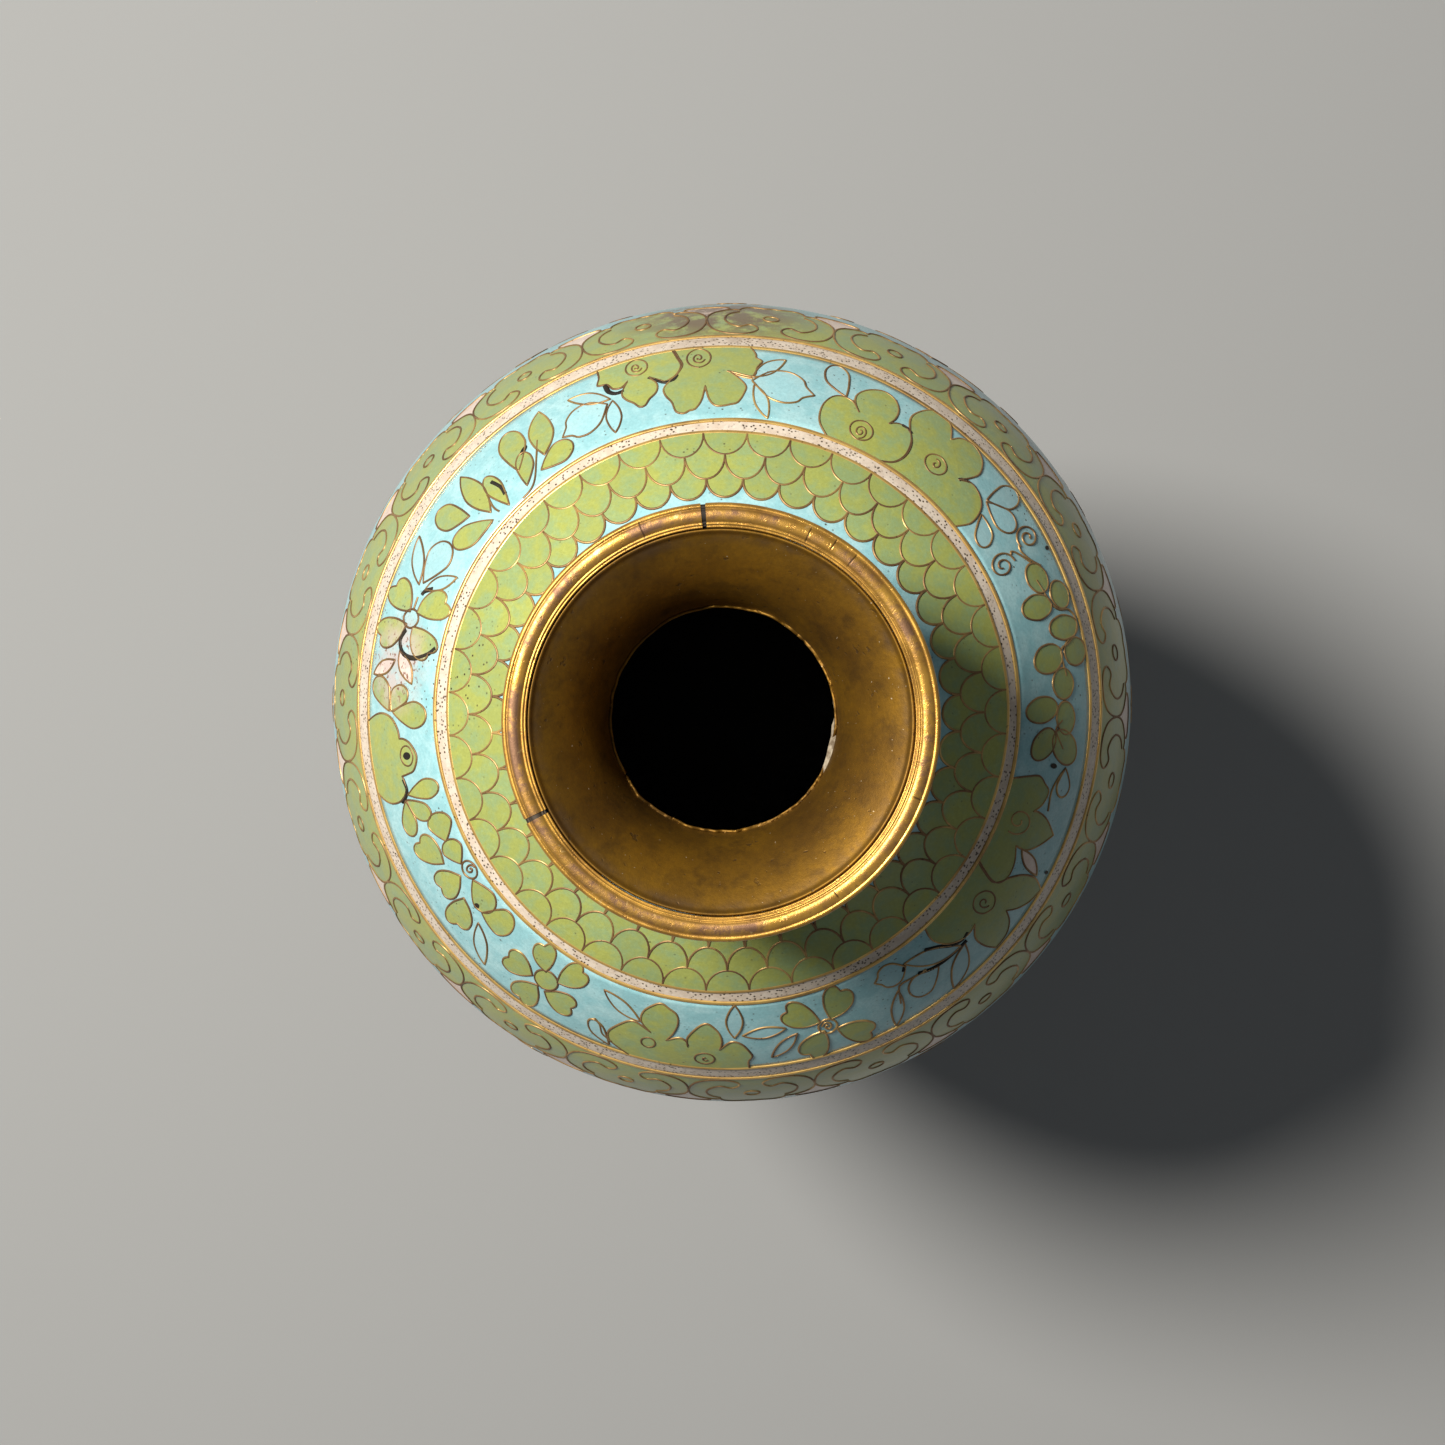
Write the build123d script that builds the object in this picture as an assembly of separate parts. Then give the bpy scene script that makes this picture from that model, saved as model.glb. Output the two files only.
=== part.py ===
from build123d import *
from math import acos, asin, cos, degrees, pi, sin
import os

# Cloisonne vase. Driving dimensions are in millimetres and angles in degrees.
# Heights are measured up from the surface that the foot stands on, on the finished enamel surface.
vase_height = 230.0
belly_radius = 59.5
belly_height = 142.0
shoulder_round = 63.0        # radius of the swelling curve from belly to shoulder, seen from the side
lower_round = 215.0          # radius of the long curve from belly down to the ankle
neck_radius = 16.2
neck_round = 16.5            # radius of the hollow curve from shoulder through neck to lip
lip_height = 227.2           # where the neck wall ends under the brass rim
waist_radius = 30.8
foot_round = 48.0            # radius of the hollow curve of the flared foot
foot_rim_height = 5.0

enamel = 0.7                 # fused glass on the outside
copper = 0.8                 # raised sheet of the body
lining = 0.5                 # counter enamel on the inside
wire_width = 0.45            # flat brass wire, stood on edge
wire_proud = 0.1             # how far a polished wire stands above the glass

rim_radius = 26.5
rim_inner_radius = 24.0
rim_seam_angles = (94.7, 206.9)
rim_seam_gap = 0.35
spigot_top = 214.0           # the funnel laps inside the shoulder's collar below this height
spigot_bottom = 206.0
foot_joint_height = 30.0
foot_lap = 4.0
strap_half_height = 4.0      # copper strap behind the belly seam
floor_flange = 5.0

ring_wire_heights = {
    "scale_collar_wire": 189.8,
    "flower_band_top_wire": 188.2,
    "flower_band_bottom_wire": 174.8,
    "ruyi_collar_wire": 171.5,
    "body_bottom_wire": 76.0,
    "lappet_band_top_wire": 73.4,
    "lappet_band_bottom_wire": 42.0,
    "ankle_band_top_wire": 39.6,
    "foot_wire": 26.0,
}
scale_tip_height = 195.9     # top of the scale collar
ruyi_tip_height = 157.0      # lowest points of the ruyi collar

ruyi_count = 19
ruyi_first_angle = 8.1
belly_flower_count = 6
belly_flower_height = 118.0
belly_flower_petals = 8
belly_flower_radius = 21.0
lappet_count = 16

# Flowers on the shoulder: angle round the vase, share of the way down the band, petal count, radius.
shoulder_flowers = (
    (49.0, 0.44, 6, 5.2), (64.0, 0.46, 6, 4.9), (93.0, 0.55, 5, 5.4), (105.5, 0.55, 5, 4.6),
    (163.0, 0.55, 5, 4.6), (187.0, 0.62, 6, 4.8), (205.0, 0.46, 6, 5.2), (218.5, 0.42, 5, 4.8),
    (235.9, 0.45, 5, 5.3), (256.0, 0.50, 5, 4.6), (268.0, 0.55, 5, 4.8), (288.3, 0.51, 5, 5.2),
    (322.0, 0.50, 6, 5.4), (340.4, 0.45, 6, 5.4),
)

# The outside of the vase, seen from the side, is four round stretches, each tangent to the next.
shoulder_turn = acos(1 - (belly_radius - neck_radius) / (shoulder_round + neck_round))
neck_height = belly_height + (shoulder_round + neck_round) * sin(shoulder_turn)
shoulder_top = belly_height + shoulder_round * sin(shoulder_turn)
lower_turn = acos(1 - (belly_radius - waist_radius) / (lower_round + foot_round))
waist_height = belly_height - (lower_round + foot_round) * sin(lower_turn)
ankle_height = belly_height - lower_round * sin(lower_turn)

# Each stretch: its top, its centre (radius, height), its own radius, and 1 for swelling or -1 for hollow.
stretches = (
    (ankle_height, waist_radius + foot_round, waist_height, foot_round, -1),
    (belly_height, belly_radius - lower_round, belly_height, lower_round, 1),
    (shoulder_top, belly_radius - shoulder_round, belly_height, shoulder_round, 1),
    (vase_height, neck_radius + neck_round, neck_height, neck_round, -1),
)


def stretch_at(z):
    for stretch in stretches:
        if z <= stretch[0] + 1e-6:
            return stretch
    return stretches[-1]


def wall_point(z, depth, stretch=None):
    """Point on the wall, depth below the finished surface, square to it at height z."""
    _, centre_r, centre_z, radius, swell = stretch or stretch_at(z)
    turn = asin((z - centre_z) / radius)
    reach = radius - swell * depth
    return Vector(centre_r + swell * reach * cos(turn), 0, centre_z + reach * sin(turn))


def along_wall(z, distance):
    """Height reached by going up the surface from z by a distance."""
    _, _, centre_z, radius, _ = stretch_at(z)
    return centre_z + radius * sin(asin((z - centre_z) / radius) + distance / radius)


def wall_edges(z_low, z_high, depth):
    edges = []
    start = z_low
    for stretch in stretches:
        end = min(z_high, stretch[0])
        if end > start + 1e-6:
            ends = [wall_point(z, depth, stretch) for z in (start, (start + end) / 2, end)]
            edges.append(ThreePointArc(*ends))
            start = end
    return edges


def turned(edges, arc=360.0):
    """Solid of revolution about the vase's axis from a closed outline of edges."""
    return revolve(make_face(edges), Axis.Z, arc).solid()


def layer(z_low, z_high, outer_depth, inner_depth):
    """One skin of the wall between two heights, its ends square to the surface."""
    edges = wall_edges(z_low, z_high, outer_depth) + wall_edges(z_low, z_high, inner_depth)
    edges += [Line(wall_point(z, outer_depth), wall_point(z, inner_depth)) for z in (z_low, z_high)]
    return turned(edges)


def wall_plane(z):
    """Plane on the surface: X goes round the vase, Y goes up it and Z points out of it."""
    _, centre_r, centre_z, radius, swell = stretch_at(z)
    turn = asin((z - centre_z) / radius)
    outwards = Vector(cos(turn), 0, swell * sin(turn))
    return Plane(origin=wall_point(z, 0), x_dir=(0, 1, 0), z_dir=outwards)


def prism(outline, z, angle):
    """Outline stood on the surface at height z and pushed through the wall."""
    through = 6.0
    return Rot(0, 0, angle) * extrude(wall_plane(z) * outline, amount=through, both=True)


def write(name, *shapes):
    solids = [solid for shape in shapes for solid in shape.solids()]
    shape = solids[0] if len(solids) == 1 else Compound(solids)
    shape.label = name
    export_step(shape, f"parts/{name}.step")


def flower_outline(petals, radius):
    """Round petals about a round heart."""
    petal = radius * sin(pi / petals) / (1 + sin(pi / petals)) * 1.12
    ring = radius - petal
    outline = Circle(ring * 0.8)
    for i in range(petals):
        outline += Rot(0, 0, 360.0 * i / petals) * Pos(0, ring) * Circle(petal)
    return outline.face()


def inlay(outlines, band):
    """Set outlines into a band: gives the glass cells, the wires round them and the ground that is left.

    Each outline is (angle, height, face)."""
    z_low, z_high = band
    glass = layer(z_low, z_high, 0, enamel)
    wire_skin = layer(z_low, z_high, -wire_proud, enamel)
    cells = []
    wires = []
    ground = glass
    for angle, height, face in outlines:
        heart = offset(face, amount=-wire_width, kind=Kind.ARC)
        wires.append(prism(face - heart, height, angle) & wire_skin)
        cells.append(prism(heart, height, angle) & glass)
        ground = ground - prism(face, height, angle)
    return cells, wires, ground


os.makedirs("parts", exist_ok=True)
half_wire = wire_width / 2

# Raised copper body: the shoulder with its collar, the lower body, the flared foot and the dished floor.
shoulder_shell = layer(belly_height, spigot_top, enamel, enamel + copper)
lower_shell = layer(foot_joint_height, belly_height, enamel, enamel + copper)
inside = enamel + copper
foot_wall = layer(foot_rim_height, foot_joint_height, enamel, inside)
foot_spigot = layer(foot_joint_height - foot_lap, foot_joint_height + foot_lap, inside, inside + 0.6)
belly_strap = layer(belly_height - strap_half_height, belly_height + strap_half_height, inside, inside + lining)
floor_top = waist_height + copper / 2
flange = layer(floor_top - floor_flange, floor_top, inside, inside + copper)
floor_disc_radius = waist_radius - inside - copper / 2
floor_disc = Pos(0, 0, floor_top - copper / 2) * Cylinder(floor_disc_radius, copper)
write("shoulder_shell", shoulder_shell)
write("lower_shell", lower_shell)
write("foot_ring", foot_wall + foot_spigot)
write("belly_seam_strap", belly_strap)
write("floor_plate", floor_disc + flange)

# Spun brass funnel of the mouth. Its thin lower end slips inside the shoulder's collar.
funnel_depth = inside + copper
funnel_flare = layer(spigot_top, lip_height, enamel, funnel_depth)
funnel_spigot = layer(spigot_bottom, spigot_top, inside, funnel_depth)
write("neck_funnel", funnel_flare + funnel_spigot)

# Brass rim round the mouth, in two lengths that butt at two open seams.
lip_outer = wall_point(lip_height, 0)
lip_inner = wall_point(lip_height, funnel_depth)
seat_share = (lip_outer.X - rim_inner_radius) / (lip_outer.X - lip_inner.X)
rim_seat_top = lip_outer + (lip_inner - lip_outer) * seat_share
rim_land_edge = Vector(rim_inner_radius, 0, vase_height - 0.4)
rim_crown = Vector(rim_radius - 1.0, 0, vase_height)
rim_side_top = Vector(rim_radius, 0, vase_height - 0.9)
rim_side_bottom = Vector(rim_radius - 0.3, 0, vase_height - 2.2)
rim_edges = [
    Line(lip_outer, rim_seat_top),
    Line(rim_seat_top, rim_land_edge),
    ThreePointArc(rim_land_edge, Vector(rim_inner_radius + 0.55, 0, vase_height - 0.1), rim_crown),
    ThreePointArc(rim_crown, Vector(rim_radius - 0.28, 0, vase_height - 0.24), rim_side_top),
    Line(rim_side_top, rim_side_bottom),
    Line(rim_side_bottom, lip_outer),
]
seam = degrees(rim_seam_gap / rim_radius)
short_start, long_start = rim_seam_angles
short_arc = long_start - short_start - seam
long_arc = 360.0 - (long_start - short_start) - seam
write("mouth_rim_short_length", Rot(0, 0, short_start + seam / 2) * turned(rim_edges, short_arc))
write("mouth_rim_long_length", Rot(0, 0, long_start + seam / 2) * turned(rim_edges, long_arc))

# Brass rim that closes the lower edge of the foot and is the face that the vase stands on.
foot_outer = wall_point(foot_rim_height, 0)
foot_inner = wall_point(foot_rim_height, inside)
stand_outer = Vector(foot_outer.X + 0.8, 0, 0)
stand_inner = Vector(foot_inner.X - 0.5, 0, 0)
foot_rim_edges = [
    ThreePointArc(foot_outer, Vector(foot_outer.X + 1.1, 0, foot_rim_height / 2), stand_outer),
    Line(stand_outer, stand_inner),
    Line(stand_inner, foot_inner),
    Line(foot_inner, foot_outer),
]
write("foot_rim", turned(foot_rim_edges))

# Counter enamel on the inside of the body and on both faces of the floor.
write("lining_upper", layer(belly_height + strap_half_height, spigot_bottom - 1.0, inside, inside + lining))
write("lining_lower", layer(foot_joint_height + foot_lap + 0.5, belly_height - strap_half_height,
                            inside, inside + lining))
floor_glass_radius = waist_radius - inside - copper - 0.1
write("floor_lining", Pos(0, 0, floor_top + lining / 2) * Cylinder(floor_glass_radius, lining))
write("base_enamel", Pos(0, 0, floor_top - copper - lining / 2) * Cylinder(floor_glass_radius, lining))

# Ring wires between the bands.
for name, z in ring_wire_heights.items():
    write(name, layer(along_wall(z, -half_wire), along_wall(z, half_wire), -wire_proud, enamel))


def band_between(lower, upper):
    """Heights of a band between two ring wires, or between a wire and a plain height."""
    low = along_wall(ring_wire_heights[lower], half_wire) if lower in ring_wire_heights else lower
    high = along_wall(ring_wire_heights[upper], -half_wire) if upper in ring_wire_heights else upper
    return low, high


# Bands of enamel.
enamel_bands = {
    "neck_enamel": (scale_tip_height, lip_height),
    "scale_collar_enamel": band_between("scale_collar_wire", scale_tip_height),
    "upper_white_band": band_between("flower_band_top_wire", "scale_collar_wire"),
    "middle_white_band": band_between("ruyi_collar_wire", "flower_band_bottom_wire"),
    "lower_white_band": band_between("lappet_band_top_wire", "body_bottom_wire"),
    "ankle_white_band": band_between("ankle_band_top_wire", "lappet_band_bottom_wire"),
    "ankle_enamel": band_between("foot_wire", "ankle_band_top_wire"),
    "foot_enamel": band_between(foot_rim_height, "foot_wire"),
}
for name, (low, high) in enamel_bands.items():
    write(name, layer(low, high, 0, enamel))

# Flower band on the shoulder.
flower_low, flower_high = band_between("flower_band_bottom_wire", "flower_band_top_wire")
flowers = []
for angle, share, petals, radius in shoulder_flowers:
    flowers.append((angle, flower_high + (flower_low - flower_high) * share, flower_outline(petals, radius)))
cells, wires, ground = inlay(flowers, (flower_low, flower_high))
write("flower_band_cells", *cells)
write("flower_band_wires", *wires)
write("flower_band_ground", ground)

# Collar of ruyi heads that hang from the middle white band, tips down.
ruyi_low, ruyi_high = band_between(ruyi_tip_height, "ruyi_collar_wire")
ruyi_half_width = pi * wall_point((ruyi_low + ruyi_high) / 2, 0).X / ruyi_count
lobe = ruyi_half_width * 0.46
ruyi_outline = Pos(0, -lobe * 0.75) * Circle(lobe)
for side in (-1, 1):
    ruyi_outline += Pos(side * (ruyi_half_width - lobe - 0.3), lobe * 0.35) * Circle(lobe)
ruyi_outline += Pos(0, lobe * 0.55) * Rectangle(lobe * 1.4, lobe * 1.8)
ruyi_outline = ruyi_outline.face()
ruyi_middle = (ruyi_low + ruyi_high) / 2 + 0.6
ruyi_heads = [(ruyi_first_angle + 360.0 * i / ruyi_count, ruyi_middle, ruyi_outline) for i in range(ruyi_count)]
cells, wires, ground = inlay(ruyi_heads, (ruyi_low, ruyi_high))
write("ruyi_head_cells", *cells)
write("ruyi_head_wires", *wires)
write("ruyi_collar_ground", ground)

# Large flowers round the belly.
body_low, body_high = band_between("body_bottom_wire", ruyi_tip_height)
belly_outline = flower_outline(belly_flower_petals, belly_flower_radius)
belly_step = 360.0 / belly_flower_count
belly_flowers = [(i * belly_step, belly_flower_height, belly_outline) for i in range(belly_flower_count)]
cells, wires, ground = inlay(belly_flowers, (body_low, body_high))
write("belly_flower_cells", *cells)
write("belly_flower_wires", *wires)
write("body_ground", ground)

# Standing lappets round the lower body.
lappet_low, lappet_high = band_between("lappet_band_bottom_wire", "lappet_band_top_wire")
lappet_radius = wall_point(lappet_low + 6, 0).X
lappet_half = pi * lappet_radius / lappet_count - 0.5
lappet_outline = make_face([
    Line((-lappet_half, -7), (lappet_half, -7)),
    Line((lappet_half, -7), (lappet_half, 5)),
    ThreePointArc((lappet_half, 5), (lappet_half * 0.72, 13), (0, 19)),
    ThreePointArc((0, 19), (-lappet_half * 0.72, 13), (-lappet_half, 5)),
    Line((-lappet_half, 5), (-lappet_half, -7)),
]).face()
lappets = [(360.0 * i / lappet_count, lappet_low + 8.5, lappet_outline) for i in range(lappet_count)]
cells, wires, ground = inlay(lappets, (lappet_low, lappet_high))
write("lappet_cells", *cells)
write("lappet_wires", *wires)
write("lappet_band_ground", ground)
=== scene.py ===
import math
import random

import bpy
from mathutils import Matrix, Vector


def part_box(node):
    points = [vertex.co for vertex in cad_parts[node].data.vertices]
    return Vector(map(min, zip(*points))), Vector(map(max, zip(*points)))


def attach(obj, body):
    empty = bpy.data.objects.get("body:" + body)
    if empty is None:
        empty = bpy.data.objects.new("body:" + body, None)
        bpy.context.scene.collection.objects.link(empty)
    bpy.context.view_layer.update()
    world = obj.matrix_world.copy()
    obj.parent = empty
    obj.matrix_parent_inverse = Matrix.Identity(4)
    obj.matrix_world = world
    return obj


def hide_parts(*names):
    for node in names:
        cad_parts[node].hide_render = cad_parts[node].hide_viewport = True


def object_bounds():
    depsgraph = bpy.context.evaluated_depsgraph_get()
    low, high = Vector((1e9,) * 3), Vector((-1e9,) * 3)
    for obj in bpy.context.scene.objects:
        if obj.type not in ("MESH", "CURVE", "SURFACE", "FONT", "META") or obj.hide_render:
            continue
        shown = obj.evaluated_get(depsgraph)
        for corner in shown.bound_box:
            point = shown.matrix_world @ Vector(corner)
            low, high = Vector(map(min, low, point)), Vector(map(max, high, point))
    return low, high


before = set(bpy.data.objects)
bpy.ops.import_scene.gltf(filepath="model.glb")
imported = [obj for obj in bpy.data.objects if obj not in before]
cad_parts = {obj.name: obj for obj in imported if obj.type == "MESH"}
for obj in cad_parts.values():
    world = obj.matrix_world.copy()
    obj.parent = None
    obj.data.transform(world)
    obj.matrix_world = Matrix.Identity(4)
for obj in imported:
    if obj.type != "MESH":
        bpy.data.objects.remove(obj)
cad_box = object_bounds()
MM = 0.001

# ---------------------------------------------------------------------------------------------------
# The wall of the vase. Raised copper, seen from the side as four round stretches that run into each
# other: hollow foot, long lower curve, swelling shoulder, hollow neck. Everything on it follows this line.
vase_height = cad_box[1][2]
belly_radius = 59.5 * MM
belly_height = 142 * MM
shoulder_round = 63 * MM
lower_round = 215 * MM
neck_radius = 16.2 * MM
neck_round = 16.5 * MM
waist_radius = 30.8 * MM
foot_round = 48 * MM
foot_rim_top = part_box("foot_enamel")[0].z
lip_height = 227.2 * MM

shoulder_turn = math.acos(1 - (belly_radius - neck_radius) / (shoulder_round + neck_round))
neck_height = belly_height + (shoulder_round + neck_round) * math.sin(shoulder_turn)
lower_turn = math.acos(1 - (belly_radius - waist_radius) / (lower_round + foot_round))
waist_height = belly_height - (lower_round + foot_round) * math.sin(lower_turn)
foot_turn = math.asin((waist_height - foot_rim_top) / foot_round)
lip_turn = math.asin((lip_height - neck_height) / neck_round)

# Each stretch: radius and height of its centre, its own radius, 1 swelling or -1 hollow, first and last turn.
stretches = (
    (waist_radius + foot_round, waist_height, foot_round, -1, -foot_turn, lower_turn),
    (belly_radius - lower_round, belly_height, lower_round, 1, -lower_turn, 0.0),
    (belly_radius - shoulder_round, belly_height, shoulder_round, 1, 0.0, shoulder_turn),
    (neck_radius + neck_round, neck_height, neck_round, -1, -shoulder_turn, lip_turn),
)


def wall_line(step=0.5 * MM):
    """Points up the outside of the wall, from the foot rim to the lip, as (radius, height)."""
    line = []
    for centre_r, centre_z, radius, swell, first, last in stretches:
        count = math.ceil(radius * (last - first) / step)
        for i in range(count):
            turn = first + (last - first) * i / count
            line.append((centre_r + swell * radius * math.cos(turn), centre_z + radius * math.sin(turn)))
    line.append((centre_r + swell * radius * math.cos(last), centre_z + radius * math.sin(last)))
    return line


wall = wall_line()
wall_lengths = [0.0]
for (r0, z0), (r1, z1) in zip(wall, wall[1:]):
    wall_lengths.append(wall_lengths[-1] + math.hypot(r1 - r0, z1 - z0))


def up_wall(height):
    """Length up the wall, from the foot rim, at which the wall reaches a height."""
    for i in range(1, len(wall)):
        if wall[i][1] >= height:
            share = (height - wall[i - 1][1]) / (wall[i][1] - wall[i - 1][1])
            return wall_lengths[i - 1] + share * (wall_lengths[i] - wall_lengths[i - 1])
    return wall_lengths[-1]


def wall_radius(length):
    """Radius of the vase at a length up the wall."""
    i = min(range(len(wall)), key=lambda k: abs(wall_lengths[k] - length))
    return wall[i][0]


def in_scene(name, data):
    """New object that stands in the scene."""
    made = bpy.data.objects.new(name, data)
    bpy.context.scene.collection.objects.link(made)
    return made


def mesh_object(name, points, edges, faces=()):
    mesh = bpy.data.meshes.new(name)
    mesh.from_pydata(points, edges, faces)
    return in_scene(name, mesh)


def drawing(name, lines, loops=()):
    """Closed loops and open lines as one object of edges, for the node trees to work from."""
    points, edges = [], []
    for run, closed in [(loop, True) for loop in loops] + [(line, False) for line in lines]:
        first = len(points)
        points += [(*spot, 0.0)[:3] for spot in run]
        edges += [(i, i + 1) for i in range(first, len(points) - 1)]
        if closed:
            edges.append((len(points) - 1, first))
    return mesh_object(name, points, edges)


wall_guide = drawing("wall_guide", [[(r, 0.0, z) for r, z in wall]])


def feed(tree, socket, value):
    """Link a socket to another one or to a node's first output, or set its value."""
    if isinstance(value, bpy.types.Node):
        value = value.outputs[0]
    if isinstance(value, bpy.types.NodeSocket):
        tree.links.new(value, socket)
    else:
        socket.default_value = value


def put(tree, kind, inputs=None, **settings):
    """One node, with its settings and what is fed to its inputs."""
    made = tree.nodes.new(kind)
    for key, value in settings.items():
        setattr(made, key, value)
    for key, value in (inputs or {}).items():
        feed(tree, made.inputs[key], value)
    return made


def maths(tree, operation, *values):
    return put(tree, "ShaderNodeMath", dict(enumerate(values)), operation=operation).outputs[0]


def times(tree, first, second):
    return maths(tree, "MULTIPLY", first, second)


def field(tree, what):
    """What a geometry tree reads at each point: Position, Normal or Index."""
    return put(tree, "GeometryNodeInput" + what)


def new_tree(name, sockets):
    """Empty geometry tree with named inputs; gives the tree, those inputs and its output node."""
    tree = bpy.data.node_groups.new(name, "GeometryNodeTree")
    for in_out in ("OUTPUT", "INPUT"):
        tree.interface.new_socket("Geometry", in_out=in_out, socket_type="NodeSocketGeometry")
    for label, kind in sockets:
        tree.interface.new_socket(label, in_out="INPUT", socket_type="NodeSocket" + kind)
    return tree, tree.nodes.new("NodeGroupInput").outputs, tree.nodes.new("NodeGroupOutput")


def lay_on_wall(tree, geometry, guide, drawn_radius):
    """Bend flat work onto the wall: X goes round it, Y goes up it and Z stands out of it."""
    place = put(tree, "ShaderNodeSeparateXYZ", {0: field(tree, "Position")}).outputs
    outline = put(tree, "GeometryNodeObjectInfo", {"Object": guide})
    curve = put(tree, "GeometryNodeMeshToCurve", {"Mesh": outline.outputs["Geometry"]})
    sample = put(tree, "GeometryNodeSampleCurve", {"Curves": curve, "Length": place["Y"]}, mode="LENGTH",
                 use_all_curves=True)
    point = put(tree, "ShaderNodeSeparateXYZ", {0: sample.outputs["Position"]}).outputs
    along = put(tree, "ShaderNodeSeparateXYZ", {0: sample.outputs["Tangent"]}).outputs
    radius = maths(tree, "ADD", point["X"], times(tree, along["Z"], place["Z"]))
    height = maths(tree, "SUBTRACT", point["Z"], times(tree, along["X"], place["Z"]))
    angle = maths(tree, "DIVIDE", place["X"], drawn_radius)
    bent = put(tree, "ShaderNodeCombineXYZ", {
        "X": times(tree, radius, maths(tree, "COSINE", angle)),
        "Y": times(tree, radius, maths(tree, "SINE", angle)), "Z": height})
    return put(tree, "GeometryNodeSetPosition", {"Geometry": geometry, "Position": bent})


def finish_tree(tree, output, geometry, material):
    smooth = put(tree, "GeometryNodeSetShadeSmooth", {"Geometry": geometry})
    real = put(tree, "GeometryNodeRealizeInstances", {"Geometry": smooth})
    painted = put(tree, "GeometryNodeSetMaterial", {"Geometry": real, "Material": material})
    feed(tree, output.inputs[0], painted)


def make_with(tree, name, values, source=None):
    """Run a tree with named input values, on an object if one is given, and keep what it makes as a mesh."""
    source = source or drawing(name + "_start", [[(0, 0, 0), (0, 0, MM)]])
    modifier = source.modifiers.new(tree.name, "NODES")
    modifier.node_group = tree
    for item in tree.interface.items_tree:
        if item.in_out == "INPUT" and item.name in values:
            modifier[item.identifier] = values[item.name]
    bpy.context.view_layer.update()
    mesh = bpy.data.meshes.new_from_object(source.evaluated_get(bpy.context.evaluated_depsgraph_get()))
    bpy.data.objects.remove(source)
    mesh.name = name
    return in_scene(name, mesh)


def keep(piece, slot, *nodes):
    """Fasten a finished piece to the vase; it stands for the CAD nodes named."""
    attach(piece, "root")
    if nodes:
        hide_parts(*nodes)


def new_material(name):
    """A material, with its tree, its shader and the places that its patterns are laid out by."""
    material = bpy.data.materials.new(name)
    material.use_nodes = True
    tree = material.node_tree
    return material, tree, tree.nodes["Principled BSDF"], put(tree, "ShaderNodeTexCoord").outputs["Object"]


def blotches(tree, places, scale, detail=4.0, low=0.4, high=0.6, roughness=0.6, seed=0.0):
    """Noise of one grain size, stretched to run from 0 to 1 between two levels."""
    moved = put(tree, "ShaderNodeVectorMath", {0: places, 1: (seed, seed * 0.37, -seed)}, operation="ADD")
    noise = put(tree, "ShaderNodeTexNoise", {"Vector": moved, "Scale": scale, "Detail": detail,
                                             "Roughness": roughness})
    return put(tree, "ShaderNodeMapRange", {"Value": noise.outputs["Fac"], "From Min": low, "From Max": high})


def blend(tree, share, first, second, strength=1.0):
    """Mix of two colours, each a colour or a socket, by a share that can be weakened."""
    if strength < 1:
        share = times(tree, share, strength)
    made = put(tree, "ShaderNodeMix", {0: share}, data_type="RGBA")
    for socket, value in ((made.inputs[6], first), (made.inputs[7], second)):
        feed(tree, socket, (*value, 1.0) if isinstance(value, tuple) else value)
    return made.outputs[2]


def surface(tree, shader, colour, roughness, relief, strength, depth, metallic=0.0):
    """Finish a material with its colour, its shine and a fine relief."""
    bump = put(tree, "ShaderNodeBump", {"Height": relief, "Strength": strength, "Distance": depth})
    for label, value in (("Base Color", colour), ("Roughness", roughness), ("Metallic", metallic),
                         ("Normal", bump)):
        feed(tree, shader.inputs[label], value)


def paint(material, *names):
    """Give a material to CAD nodes that stay as they are."""
    for name in names:
        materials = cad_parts[name].data.materials
        materials.clear()
        materials.append(material)


# The copper itself shows nowhere but down the mouth and under the foot: fire-darkened, brown to black.
copper, tree, shader, places = new_material("fire_darkened_copper")
stain = blotches(tree, places, 90, low=0.35, high=0.65)
surface(tree, shader, blend(tree, stain, (0.20, 0.075, 0.035), (0.045, 0.022, 0.014)), 0.55,
        blotches(tree, places, 700), 0.3, 0.2 * MM, metallic=0.8)
paint(copper, "shoulder_shell", "lower_shell", "foot_ring", "belly_seam_strap", "floor_plate")

# Painted shade: the counter enamel inside is made near black, so that the deep inside reads as dark as it
# does in shade.
lining, tree, shader, places = new_material("counter_enamel_painted_shade_black")
stain = blotches(tree, places, 120, low=0.35, high=0.65)
surface(tree, shader, blend(tree, stain, (0.004, 0.006, 0.007), (0.010, 0.010, 0.008)), 0.5,
        blotches(tree, places, 900), 0.4, 0.15 * MM)
paint(lining, "lining_upper", "lining_lower", "floor_lining")


# ---------------------------------------------------------------------------------------------------
# Enamel grounds. Ground glass packed in wet, fired until it runs, then stoned flush: bands of turquoise,
# green and cream between the ring wires, a little uneven and pitted where bubbles were cut through.
heights = {
    "collar_wire": 189.8 * MM,
    "flower_top_wire": 188.2 * MM,
    "flower_bottom_wire": 174.8 * MM,
    "ruyi_wire": 171.5 * MM,
    "ruyi_tips": 157.0 * MM,
    "body_wire": 76.0 * MM,
    "lappet_top_wire": 73.4 * MM,
    "lappet_bottom_wire": 42.0 * MM,
    "ankle_wire": 39.6 * MM,
    "foot_wire": 26.0 * MM,
}
up = {name: up_wall(height) for name, height in heights.items()}
up["foot"] = 0.0
up["neck_top"] = wall_lengths[-1]

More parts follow.
